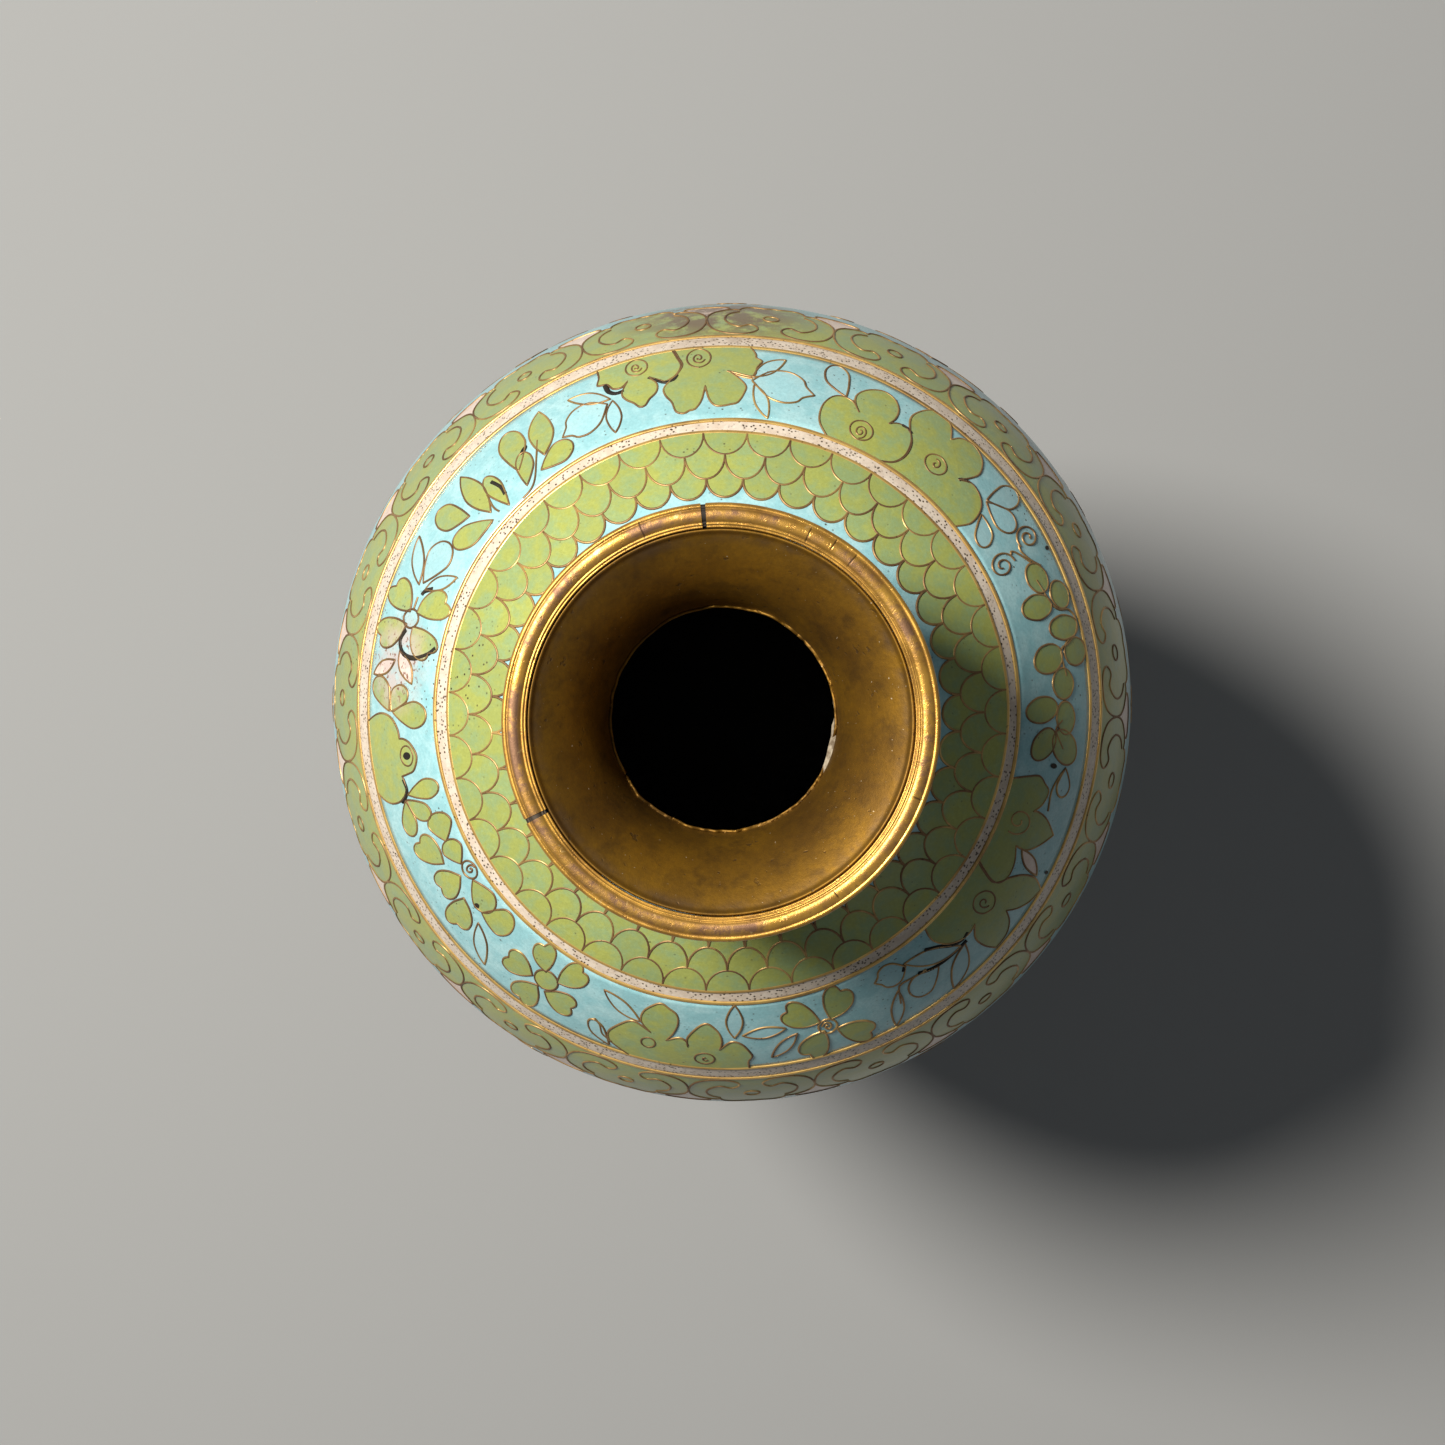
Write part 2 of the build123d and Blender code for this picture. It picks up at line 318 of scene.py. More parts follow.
TURQUOISE = (0.245, 0.465, 0.500)
TURQUOISE_PALE = (0.340, 0.545, 0.570)
GREEN = (0.325, 0.350, 0.085)
GREEN_BLUE = (0.250, 0.335, 0.150)
CREAM = (0.610, 0.520, 0.430)
PIT = (0.055, 0.035, 0.020)
ROSE = (0.700, 0.520, 0.430)

# Worn places as (centre, reach): two runs of open bubbles, a stained patch, and a scuffed, browned one.
pitted_places = (((-36.5 * MM, 6.0 * MM, 189.0 * MM), 12 * MM), ((-50.4 * MM, 9.0 * MM, 173.2 * MM), 10 * MM))
stained_place = ((-45.5 * MM, 6.5 * MM, 181.5 * MM), 8 * MM)
scuffed_place = ((-1.5 * MM, 56.3 * MM, 161.0 * MM), 16 * MM)


def fade(tree, value, full, gone):
    """1 while a value is low, falling to 0 between two levels."""
    return put(tree, "ShaderNodeMapRange", {"Value": value, "From Min": full, "From Max": gone, "To Min": 1.0,
                                            "To Max": 0.0})


def close_to(tree, places, spot, reach):
    """1 near a place on the vase, falling to 0 at the end of the reach."""
    apart = put(tree, "ShaderNodeVectorMath", {0: places, 1: spot}, operation="DISTANCE").outputs["Value"]
    return fade(tree, apart, 0.45 * reach, reach)


def enamel(name, main, second, pit_share=0.25, pit_scale=1100, pit_size=0.20, cloud=330):
    """Opaque enamel: clouded colour, fine specks, bubble pits, and a small difference from cell to cell."""
    material, tree, shader, places = new_material(name)
    colour = blend(tree, blotches(tree, places, cloud, 5, 0.42, 0.60), main, second)
    pale = blotches(tree, places, 1300, 3, 0.50, 0.72, seed=5.5)
    colour = blend(tree, pale, colour, tuple(1.3 * c + 0.03 for c in main), 0.28)
    fine = blotches(tree, places, 2600, 2, 0.35, 0.75, seed=0.3)
    colour = blend(tree, fine, colour, tuple(0.72 * c for c in main), 0.45)
    cell = put(tree, "ShaderNodeAttribute", attribute_name="cell_tint").outputs["Fac"]
    colour = blend(tree, cell, colour, tuple(0.6 * c for c in second), 0.30)
    holes = put(tree, "ShaderNodeTexVoronoi", {"Vector": places, "Scale": pit_scale, "Randomness": 1.0})
    near = fade(tree, holes.outputs["Distance"], 0.6 * pit_size, pit_size)
    patchy = blotches(tree, places, 260, 2, 1 - pit_share - 0.2, 1 - pit_share, seed=1.7)
    for spot, reach in pitted_places:
        patchy = maths(tree, "MAXIMUM", patchy, close_to(tree, places, spot, reach))
    chance = times(tree, near, patchy)
    colour = blend(tree, chance, colour, PIT)
    # Stain, rust and scuffs: where, the grain, detail, levels, roughness and seed of the patches, how strong
    for place, patches, shade, strength in (
        (stained_place, (420, 5, 0.32, 0.56, 0.6, 6.6), (0.46, 0.37, 0.345), 0.8),
        (stained_place, (1500, 2, 0.60, 0.66, 0.6, 8.8), (0.20, 0.10, 0.07), 1.0),
        (scuffed_place, (300, 7, 0.40, 0.52, 0.75, 7.1), (0.125, 0.075, 0.042), 0.9),
    ):
        worn = times(tree, close_to(tree, places, *place), blotches(tree, places, *patches))
        colour = blend(tree, worn, colour, shade, strength)
    ripples = blotches(tree, places, 420, 3, 0.2, 0.8, seed=2.2)
    relief = maths(tree, "SUBTRACT", ripples, times(tree, chance, 1.4))
    surface(tree, shader, colour, 0.30, relief, 0.22, 0.12 * MM)
    for label, value in (("Specular IOR Level", 0.38), ("Coat Weight", 0.12), ("Coat Roughness", 0.12)):
        feed(tree, shader.inputs[label], value)
    return material


turquoise = enamel("turquoise_enamel", TURQUOISE, TURQUOISE_PALE, pit_share=0.32)
turquoise_leaf = enamel("pale_turquoise_enamel", (0.30, 0.53, 0.57), TURQUOISE_PALE, pit_share=0.30)
green = enamel("olive_green_enamel", GREEN, GREEN_BLUE, pit_share=0.25)
green_ruyi = enamel("deep_green_enamel", GREEN, GREEN_BLUE, pit_share=0.22, cloud=240)
cream = enamel("cream_enamel", CREAM, (0.53, 0.43, 0.34), pit_share=0.50, pit_scale=1900, pit_size=0.36,
               cloud=500)
rose = enamel("rose_enamel", ROSE, (0.76, 0.64, 0.56), pit_share=0.35)
deep_rose = enamel("deep_rose_enamel", (0.42, 0.10, 0.09), (0.55, 0.22, 0.18), pit_share=0.30)
yellow = enamel("yellow_enamel", (0.72, 0.50, 0.12), (0.66, 0.42, 0.14), pit_share=0.30)

turned, given, result = new_tree("turned_band", (
    ("Wall line", "Object"), ("Lowest length", "Float"), ("Highest length", "Float"), ("Thickness", "Float"),
    ("Steps round", "Int"), ("Steps up", "Int"), ("Waviness", "Float"), ("Ragged end", "Float"),
    ("Enamel", "Material")))
grid = put(turned, "GeometryNodeMeshGrid", {"Size X": 1.0, "Size Y": 1.0, "Vertices X": given["Steps round"],
                                            "Vertices Y": given["Steps up"]})
spot = put(turned, "ShaderNodeSeparateXYZ", {0: field(turned, "Position")}).outputs
share_up = maths(turned, "ADD", spot["Y"], 0.5)
span = maths(turned, "SUBTRACT", given["Highest length"], given["Lowest length"])
level = maths(turned, "ADD", given["Lowest length"], times(turned, share_up, span))
turned_by = times(turned, spot["X"], math.tau)
round_spot = put(turned, "ShaderNodeCombineXYZ", {"X": maths(turned, "COSINE", turned_by),
                                                  "Y": maths(turned, "SINE", turned_by)})
tears = put(turned, "ShaderNodeTexNoise", {"Vector": round_spot, "Scale": 3.6, "Detail": 2.5,
                                           "Roughness": 0.5})
near_end = maths(turned, "POWER", share_up, 12.0)
torn = times(turned, times(turned, tears.outputs["Fac"], near_end), given["Ragged end"])
flat = put(turned, "ShaderNodeCombineXYZ", {"X": turned_by, "Y": maths(turned, "SUBTRACT", level, torn)})
opened = put(turned, "GeometryNodeSetPosition", {"Geometry": grid.outputs["Mesh"], "Position": flat})
bent = lay_on_wall(turned, opened, given["Wall line"], 1.0)
weld = 0.001 * MM
ring = put(turned, "GeometryNodeMergeByDistance", {"Geometry": bent, "Distance": weld})


def waver(tree, geometry, scale, detail, level, amount):
    """Push a surface in and out along its normals by a slow noise."""
    wave = put(tree, "ShaderNodeTexNoise", {"Vector": field(tree, "Position"), "Scale": scale,
                                            "Detail": detail})
    swing = times(tree, maths(tree, "SUBTRACT", wave.outputs["Fac"], level), amount)
    shift = put(tree, "ShaderNodeVectorMath", {0: field(tree, "Normal"), "Scale": swing}, operation="SCALE")
    return put(tree, "GeometryNodeSetPosition", {"Geometry": geometry, "Offset": shift})


uneven = waver(turned, ring, 70.0, 2.0, 0.5, given["Waviness"])
thick = put(turned, "GeometryNodeExtrudeMesh", {
    "Mesh": uneven, "Offset Scale": times(turned, given["Thickness"], -1.0), "Individual": False})
inner = put(turned, "GeometryNodeFlipFaces", {"Mesh": thick.outputs["Mesh"]})
outer_and_inner = put(turned, "GeometryNodeJoinGeometry")
for skin in (inner, uneven):
    feed(turned, outer_and_inner.inputs[0], skin)
closed = put(turned, "GeometryNodeMergeByDistance", {"Geometry": outer_and_inner, "Distance": weld})
finish_tree(turned, result, closed, given["Enamel"])

# Bands down the vase, each between two ring wires: its ends, its glass, its slot and the nodes it stands for.
steps_round = 361
band_step = 1.2 * MM
band_thickness = 0.6 * MM
for name, low, high, glass, slot, *nodes in (
    ("neck_ground", "collar_wire", "neck_top", turquoise, "turquoise_enamel", "neck_enamel",
     "scale_collar_enamel"),
    ("upper_cream_band", "flower_top_wire", "collar_wire", cream, "white_enamel", "upper_white_band"),
    ("flower_ground", "flower_bottom_wire", "flower_top_wire", turquoise, "turquoise_enamel",
     "flower_band_ground"),
    ("middle_cream_band", "ruyi_wire", "flower_bottom_wire", cream, "white_enamel", "middle_white_band"),
    ("body_field", "body_wire", "ruyi_wire", turquoise, "turquoise_enamel", "body_ground",
     "ruyi_collar_ground"),
    ("lower_cream_band", "lappet_top_wire", "body_wire", cream, "white_enamel", "lower_white_band"),
    ("lappet_ground", "lappet_bottom_wire", "lappet_top_wire", turquoise, "turquoise_enamel",
     "lappet_band_ground"),
    ("ankle_cream_band", "ankle_wire", "lappet_bottom_wire", cream, "white_enamel", "ankle_white_band"),
    ("ankle_ground", "foot_wire", "ankle_wire", turquoise, "turquoise_enamel", "ankle_enamel"),
    ("foot_ground", "foot", "foot_wire", green, "green_enamel", "foot_enamel"),
):
    band = make_with(turned, name, {
        "Wall line": wall_guide, "Lowest length": up[low], "Highest length": up[high],
        "Thickness": band_thickness, "Steps round": steps_round,
        "Steps up": max(6, round((up[high] - up[low]) / band_step)),
        "Waviness": 0.03 * MM, "Enamel": glass})
    keep(band, slot, *nodes)
paint(turquoise, "base_enamel")


# ---------------------------------------------------------------------------------------------------
# Cloisons. Flat brass wire bent to the drawing, stood on edge and glued down before the glass goes in.
# After stoning, its top edge shows as a fine line: gold where it is rubbed, brown where it has tarnished.
wire_width = 0.40 * MM
wire_height = 0.18 * MM


def brass(name, bright, dull, tarnish, tarnish_share, roughness, grain=600):
    """Brass with browned patches and small dark spots."""
    material, tree, shader, places = new_material(name)
    colour = blend(tree, blotches(tree, places, grain * 0.25, 5, 0.35, 0.65), bright, dull)
    browned = blotches(tree, places, grain * 0.12, 6, 1 - tarnish_share - 0.15, 1 - tarnish_share + 0.1,
                       seed=0.9)
    colour = blend(tree, browned, colour, tarnish)
    spots = blotches(tree, places, grain * 2.2, 2, 0.66, 0.72, seed=3.1)
    colour = blend(tree, spots, colour, (0.03, 0.018, 0.008), 0.7)
    dullness = put(tree, "ShaderNodeMapRange", {"Value": browned, "To Min": roughness,
                                                "To Max": roughness + 0.22})
    relief = blotches(tree, places, grain, 6, 0.2, 0.8, seed=4.0)
    surface(tree, shader, colour, dullness, relief, 0.12, 0.1 * MM, metallic=0.65)
    return material


wire_brass = brass("wire_brass", (0.66, 0.42, 0.15), (0.42, 0.25, 0.10), (0.190, 0.105, 0.050), 0.52, 0.38,
                   grain=900)
ring_brass = brass("ring_brass", (0.80, 0.53, 0.17), (0.60, 0.36, 0.11), (0.16, 0.085, 0.035), 0.34, 0.30,
                   grain=700)


def repeat_round(tree, given, geometry):
    """Copies of flat work, evenly spaced round the vase."""
    pitch = maths(tree, "DIVIDE", times(tree, given["Drawn radius"], math.tau), given["Times round"])
    across = put(tree, "ShaderNodeCombineXYZ", {"X": times(tree, field(tree, "Index"), pitch)})
    points = put(tree, "GeometryNodePoints", {"Count": given["Times round"], "Position": across})
    copies = put(tree, "GeometryNodeInstanceOnPoints", {"Points": points, "Instance": geometry})
    return put(tree, "GeometryNodeRealizeInstances", {"Geometry": copies})


inlaid, given, result = new_tree("inlaid_wires", (
    ("Wall line", "Object"), ("Times round", "Int"), ("Drawn radius", "Float"), ("Wire width", "Float"),
    ("Wire height", "Float"), ("Brass", "Material")))
lines = put(inlaid, "GeometryNodeMeshToCurve", {"Mesh": given["Geometry"]})
copies = repeat_round(inlaid, given, lines)
upright = put(inlaid, "GeometryNodeSetCurveNormal", {"Curve": copies}, mode="Z_UP")
edge = put(inlaid, "GeometryNodeCurvePrimitiveCircle", {"Resolution": 6, "Radius": 1.0}, mode="RADIUS")
edge_size = put(inlaid, "ShaderNodeCombineXYZ", {"X": times(inlaid, given["Wire width"], 0.5),
                                                 "Y": given["Wire height"], "Z": 1.0})
section = put(inlaid, "GeometryNodeTransform", {"Geometry": edge, "Scale": edge_size})
strip = put(inlaid, "GeometryNodeCurveToMesh", {"Curve": upright, "Profile Curve": section,
                                                "Fill Caps": True})
laid = lay_on_wall(inlaid, strip, given["Wall line"], given["Drawn radius"])
finish_tree(inlaid, result, laid, given["Brass"])

filled, given, result = new_tree("filled_cells", (
    ("Wall line", "Object"), ("Times round", "Int"), ("Drawn radius", "Float"), ("Lift", "Float"),
    ("Fineness", "Int"), ("Seed", "Int"), ("Enamel", "Material")))
rims = put(filled, "GeometryNodeMeshToCurve", {"Mesh": given["Geometry"]})
glass = put(filled, "GeometryNodeFillCurve", {"Curve": repeat_round(filled, given, rims),
                                              "Group ID": field(filled, "Index")}, mode="TRIANGLES")
finer = put(filled, "GeometryNodeSubdivideMesh", {"Mesh": glass, "Level": given["Fineness"]})
island = field(filled, "MeshIsland").outputs["Island Index"]
chance = put(filled, "FunctionNodeRandomValue", {"ID": island, "Seed": given["Seed"]}, data_type="FLOAT")
tinted = put(filled, "GeometryNodeStoreNamedAttribute", {
    "Geometry": finer, "Name": "cell_tint", "Value": chance.outputs[1]}, data_type="FLOAT", domain="POINT")
lift = put(filled, "ShaderNodeCombineXYZ", {"Z": given["Lift"]})
raised = put(filled, "GeometryNodeSetPosition", {"Geometry": tinted, "Offset": lift})
top = lay_on_wall(filled, raised, given["Wall line"], given["Drawn radius"])
finish_tree(filled, result, top, given["Enamel"])


def smooth_line(points, closed, step=0.45 * MM):
    """Round line through points. A point given twice running is a sharp corner."""
    runs = [[]]
    if closed:
        points = list(points) + [points[0]]
    for i, point in enumerate(points):
        runs[-1].append(point)
        if i + 1 < len(points) and points[i + 1] == point:
            runs.append([])
    whole = closed and len(runs) == 1
    line = []
    for run in (r for r in runs if len(r) > 1):
        for i in range(len(run) - 1):
            before = run[i - 1] if i > 0 else (run[-2] if whole else run[0])
            after = run[i + 2] if i + 2 < len(run) else (run[1] if whole else run[-1])
            start, end = run[i], run[i + 1]
            count = max(2, math.ceil(math.hypot(end[0] - start[0], end[1] - start[1]) / step))
            for k in range(count):
                t = k / count
                line.append(tuple(0.5 * (2 * start[a] + (end[a] - before[a]) * t
                                         + (2 * before[a] - 5 * start[a] + 4 * end[a] - after[a]) * t * t
                                         + (3 * start[a] - before[a] - 3 * end[a] + after[a]) * t ** 3)
                                  for a in (0, 1)))
    if not closed:
        line.append(points[-1])
    return line


def inlay_wires(name, count, drawn_radius, lines, loops=(), nodes=(), width=wire_width, proud=wire_height,
                metal=wire_brass):
    """Wires along open lines and closed loops of a flat drawing, repeated round the vase."""
    piece = make_with(inlaid, name, {
        "Wall line": wall_guide, "Times round": count, "Drawn radius": drawn_radius, "Wire width": width,
        "Wire height": proud, "Brass": metal}, drawing(name + "_drawing", lines, loops))
    keep(piece, "wire_brass", *nodes)


def inlay_glass(name, count, drawn_radius, loops, glass, slot, nodes=(), lift=0.05 * MM, fineness=2, seed=1):
    """Glass in the closed loops of a flat drawing, repeated round the vase."""
    piece = make_with(filled, name, {
        "Wall line": wall_guide, "Times round": count, "Drawn radius": drawn_radius, "Lift": lift,
        "Fineness": fineness, "Seed": seed, "Enamel": glass}, drawing(name + "_drawing", (), loops))
    keep(piece, slot, *nodes)


# Ring wires: a pair of wires laid round the vase at each edge of a cream band.
ring_nodes = {
    "collar_wire": "scale_collar_wire", "flower_top_wire": "flower_band_top_wire",
    "flower_bottom_wire": "flower_band_bottom_wire", "ruyi_wire": "ruyi_collar_wire",
    "body_wire": "body_bottom_wire", "lappet_top_wire": "lappet_band_top_wire",
    "lappet_bottom_wire": "lappet_band_bottom_wire", "ankle_wire": "ankle_band_top_wire",
    "foot_wire": "foot_wire",
}
ring_steps = 360
for name, node in ring_nodes.items():
    radius = wall_radius(up[name])
    round_line = []
    for i in range(ring_steps):
        turn = math.tau * i / ring_steps
        wander = 0.10 * MM * math.sin(3 * turn + len(name)) + 0.06 * MM * math.sin(11 * turn + len(node))
        round_line.append((radius * turn, up[name] + wander))
    round_line.append((radius * math.tau, round_line[0][1]))
    inlay_wires(name + "_ring", 1, radius, [round_line], nodes=(node,), width=0.78 * MM, proud=0.2 * MM,
                metal=ring_brass)


# ---------------------------------------------------------------------------------------------------
# Scale collar. Three staggered rows of round-topped green cells that stand on the collar wire and point
# up the neck, each row springing from the tips of the row below.
scale_count = 40
scale_rows = ((4.05 * MM, 4.75), (4.0 * MM, 0.25), (3.0 * MM, 4.75))
row_foot = up["collar_wire"]
arch_steps = 14
for row, (row_height, first_angle) in enumerate(scale_rows, start=1):
    drawn_radius = wall_radius(row_foot)
    half = math.pi * drawn_radius / scale_count
    middle = math.radians(first_angle + 4.5) * drawn_radius
    turns = [math.pi * i / arch_steps for i in range(arch_steps + 1)]
    arch = [(middle - half * math.cos(turn) * (1 - 0.06 * math.sin(turn)),
             row_foot + row_height * math.sin(turn) ** 0.8) for turn in turns]
    inlay_wires(f"scale_row_{row}_wires", scale_count, drawn_radius, [arch])
    drop = 0.0 if row == 1 else 2.6 * MM
    outline = arch + [(middle + half, row_foot - drop), (middle - half, row_foot - drop)]
    inlay_glass(f"scale_row_{row}_cells", scale_count, drawn_radius, [outline], green, "green_enamel",
                lift=(0.17 - 0.04 * row) * MM, seed=row)
    row_foot += row_height


# ---------------------------------------------------------------------------------------------------
# Ruyi collar. Nineteen cloud heads hang from the middle cream band, touching side to side. Each has two
# curled wires, a small eye and a scalloped lower edge; pale rose fills the corners between their tips.
ruyi_count = 19
ruyi_length = up["ruyi_wire"] - up["ruyi_tips"]
ruyi_radius = wall_radius((up["ruyi_wire"] + up["ruyi_tips"]) / 2)
ruyi_half = math.pi * ruyi_radius / ruyi_count
ruyi_middle = math.radians(8.1) * ruyi_radius


def ruyi(points, side=1):
    """Points of a head, as (share of half its width, share of its length down), put on the drawing."""
    return [(ruyi_middle + side * x * ruyi_half, up["ruyi_wire"] - y * ruyi_length) for x, y in points]


head_right = [(1.0, 0.47), (0.97, 0.60), (0.88, 0.72), (0.72, 0.82), (0.58, 0.86), (0.50, 0.83), (0.50, 0.83),
              (0.46, 0.93), (0.33, 1.0), (0.18, 0.985), (0.10, 0.97), (0.0, 0.99)]
head_edge = head_right + [(-x, y) for x, y in reversed(head_right[:-1])]
head_line = smooth_line(ruyi(head_edge), False)
head_fill = head_line + ruyi([(-1.0, 0.0), (1.0, 0.0)])
curl = [(1.0, 0.47), (0.97, 0.30), (0.88, 0.16), (0.70, 0.07), (0.45, 0.05), (0.28, 0.09), (0.19, 0.17),
        (0.22, 0.25), (0.33, 0.30), (0.48, 0.24), (0.62, 0.30), (0.71, 0.43), (0.70, 0.57),
        (0.62, 0.68), (0.50, 0.745)]
eye = [(0.12 * math.cos(math.tau * i / 16), 0.52 + 0.085 * math.sin(math.tau * i / 16)) for i in range(16)]
inlay_glass("ruyi_heads", ruyi_count, ruyi_radius, [head_fill], green_ruyi, "green_enamel",
            ("ruyi_head_cells",), fineness=3)
inlay_wires("ruyi_wires", ruyi_count, ruyi_radius, [head_line] + [
    smooth_line(ruyi(curl, side), False) for side in (1, -1)], [ruyi(eye)], ("ruyi_head_wires",))
corner = [(1.0, 0.47), (0.97, 0.60), (0.88, 0.72), (0.72, 0.82), (0.66, 0.90), (0.70, 0.97), (1.0, 1.0),
          (1.30, 0.97), (1.34, 0.90), (1.28, 0.82), (1.12, 0.72), (1.03, 0.60)]
corner_line = smooth_line(ruyi(corner), True)
inlay_glass("corner_fills", ruyi_count, ruyi_radius, [corner_line], rose, "white_enamel", lift=0.035 * MM)
inlay_wires("corner_wires", ruyi_count, ruyi_radius, [], [corner_line], width=0.32 * MM)


# ---------------------------------------------------------------------------------------------------
# Flower band. Blossoms, buds and leaf sprays drawn freely between two ring wires on the shoulder. Each leaf,
# petal and eye is a loop of wire filled with green or turquoise glass; big blossoms run under the ring wires.
band_inner = wall_radius(up["flower_top_wire"])
band_outer = wall_radius(up["flower_bottom_wire"])
flower_radius = (band_inner + band_outer) / 2
belly_length = up_wall(belly_height)
DEGREE = math.radians(1)
degree_size = DEGREE * flower_radius
band_width = band_outer - band_inner


def on_band(angle, out):
    """Drawn place of a point at an angle round and a share of the way out across the band, from above."""
    radius = band_inner + min(1.0, max(0.0, out)) * (band_outer - band_inner)
    turn = math.acos((radius - belly_radius + shoulder_round) / shoulder_round)
    return angle * DEGREE * flower_radius, belly_length + shoulder_round * turn


# One side of each kind of leaf, as shares of its length and of its half width. A doubled point is a corner.
leaf_sides = {
    "lance": ((0, 0), (0, 0), (0.25, 0.72), (0.52, 1.0), (0.80, 0.62), (1, 0), (1, 0)),
    "drop": ((0, 0), (0, 0), (0.28, 0.58), (0.62, 1.0), (0.90, 0.68), (1, 0)),
    "oval": ((0, 0), (0.13, 0.66), (0.5, 1.0), (0.87, 0.66), (1, 0)),
    "heart": ((0, 0), (0, 0), (0.30, 0.66), (0.66, 1.0), (0.94, 0.84), (1.02, 0.42), (0.93, 0.0),
              (0.93, 0.0)),
    "bud": ((0, 0), (0, 0), (0.26, 0.80), (0.54, 1.0), (0.76, 0.74), (0.84, 0.36), (1, 0), (1, 0)),
}


def leaf_outline(kind, place):
    """Up one side of a leaf and down the other; place puts (share along it, share aside) on the drawing."""
    side = leaf_sides[kind]
    there = [place(along, aside) for along, aside in side]
    back = [place(along, -aside) for along, aside in reversed(side[1:-1])]
    return there + (back[:-1] if side[0] == side[1] else back)


def leaf(kind, root, tip, half_width):
    """Leaf on the band, with its ends given as (angle, share out) and half its width in mm."""
    run = Vector(((tip[0] - root[0]) * degree_size, (tip[1] - root[1]) * band_width))
    across = Vector((-run.y, run.x)).normalized()

    def place(along, aside):
        spot = run * along + across * (aside * half_width * MM)
        return on_band(root[0] + spot.x / degree_size, root[1] + spot.y / band_width)

    return smooth_line(leaf_outline(kind, place), True)


def on_band_line(spots, closed=False):
    return smooth_line([on_band(*spot) for spot in spots], closed)


def coil(size, turns, start, hand, steps):
    """Offsets from the middle of a coil that winds inward; start is the direction of its outer end."""
    offsets = []
    for i in range(steps + 1):
        swing = math.radians(start) + hand * turns * math.tau * i / steps
        reach = size * (1 - 0.82 * i / steps)
        offsets.append((reach * math.cos(swing), reach * math.sin(swing)))
    return offsets


def spiral(middle, size, turns, start, hand):
    return on_band_line([(middle[0] + x / degree_size, middle[1] + y / band_width)
                         for x, y in coil(size * MM, turns, start, hand, round(turns * 14))])


vine_leaves = [leaf("oval", *given) for given in (
    ((356.6, 0.52), (351.1, 0.76), 1.75), ((356.0, 0.65), (361.6, 0.61), 1.4),
    ((356.9, 0.44), (351.2, 0.25), 1.6), ((361.2, 0.50), (359.4, 0.09), 1.85),
    ((367.3, 0.60), (362.0, 0.61), 1.6), ((371.9, 0.86), (367.4, 0.80), 1.7),
    ((370.6, 0.62), (367.9, 0.26), 1.95), ((373.6, 0.94), (374.2, 0.54), 1.6),
    ((376.9, 0.82), (381.6, 0.81), 1.4), ((378.4, 0.66), (378.7, 0.25), 1.75),
    ((380.6, 0.62), (385.9, 0.58), 1.55),
)]
spray_leaves = [leaf(*given) for given in (
    # Tall spray of pointed and round leaves
    ("lance", (125.4, 0.30), (122.4, 0.85), 1.75), ("drop", (127.5, 0.16), (119.9, 0.24), 1.45),
    ("drop", (130.9, 0.34), (128.3, 0.86), 1.9), ("drop", (131.4, 0.12), (128.2, 0.50), 1.3),
    ("drop", (136.4, 0.10), (136.2, 0.60), 1.25), ("lance", (139.8, 0.22), (139.0, 0.88), 1.55),
    ("drop", (142.9, 0.42), (146.9, 0.80), 1.8), ("drop", (140.6, 0.13), (149.0, 0.36), 1.5),
    # Leaves either side of the hanging blossom
    ("drop", (180.1, 0.66), (174.6, 0.86), 1.35), ("drop", (180.1, 0.62), (175.7, 0.44), 1.35),
    ("drop", (180.3, 0.60), (180.9, 0.12), 1.9), ("drop", (195.7, 0.60), (201.8, 0.67), 1.15),
    ("drop", (195.6, 0.58), (199.7, 0.32), 1.25), ("drop", (194.8, 0.54), (194.2, 0.08), 1.45),
)]
petals = [leaf(*given) for given in (
    # Four-petalled blossom by the worn place
    ("heart", (162.6, 0.56), (159.3, 0.90), 1.9), ("heart", (164.9, 0.56), (168.2, 0.92), 1.9),
    ("heart", (165.0, 0.46), (169.2, 0.14), 2.0), ("heart", (162.5, 0.46), (158.6, 0.10), 2.1),
    # Heap of seven petals over a spiral eye
    ("heart", (208.3, 0.42), (202.9, 0.62), 1.85), ("heart", (211.7, 0.30), (211.8, 0.66), 2.1),
    ("heart", (215.4, 0.44), (218.5, 0.78), 2.0), ("drop", (204.8, 0.24), (199.2, 0.22), 1.85),
    ("drop", (209.8, 0.20), (204.7, 0.22), 1.55), ("drop", (213.5, 0.18), (220.4, 0.24), 1.75),
    ("drop", (219.4, 0.36), (225.3, 0.16), 2.05),
    # Five-petalled blossom round an oval middle
    ("heart", (235.3, 0.60), (233.9, 0.94), 2.0), ("heart", (236.9, 0.62), (242.6, 0.64), 1.75),
    ("heart", (237.9, 0.40), (241.3, 0.06), 1.95), ("heart", (235.2, 0.36), (231.9, 0.05), 1.75),
    ("heart", (233.6, 0.52), (228.0, 0.53), 1.8), ("oval", (233.8, 0.46), (238.3, 0.46), 1.45),
    # Four-petalled blossom round a spiral
    ("heart", (286.8, 0.60), (283.1, 0.92), 1.9), ("heart", (289.0, 0.62), (294.2, 0.88), 1.75),
    ("heart", (288.5, 0.46), (292.4, 0.10), 2.2), ("heart", (286.6, 0.46), (280.9, 0.18), 1.95),
)]
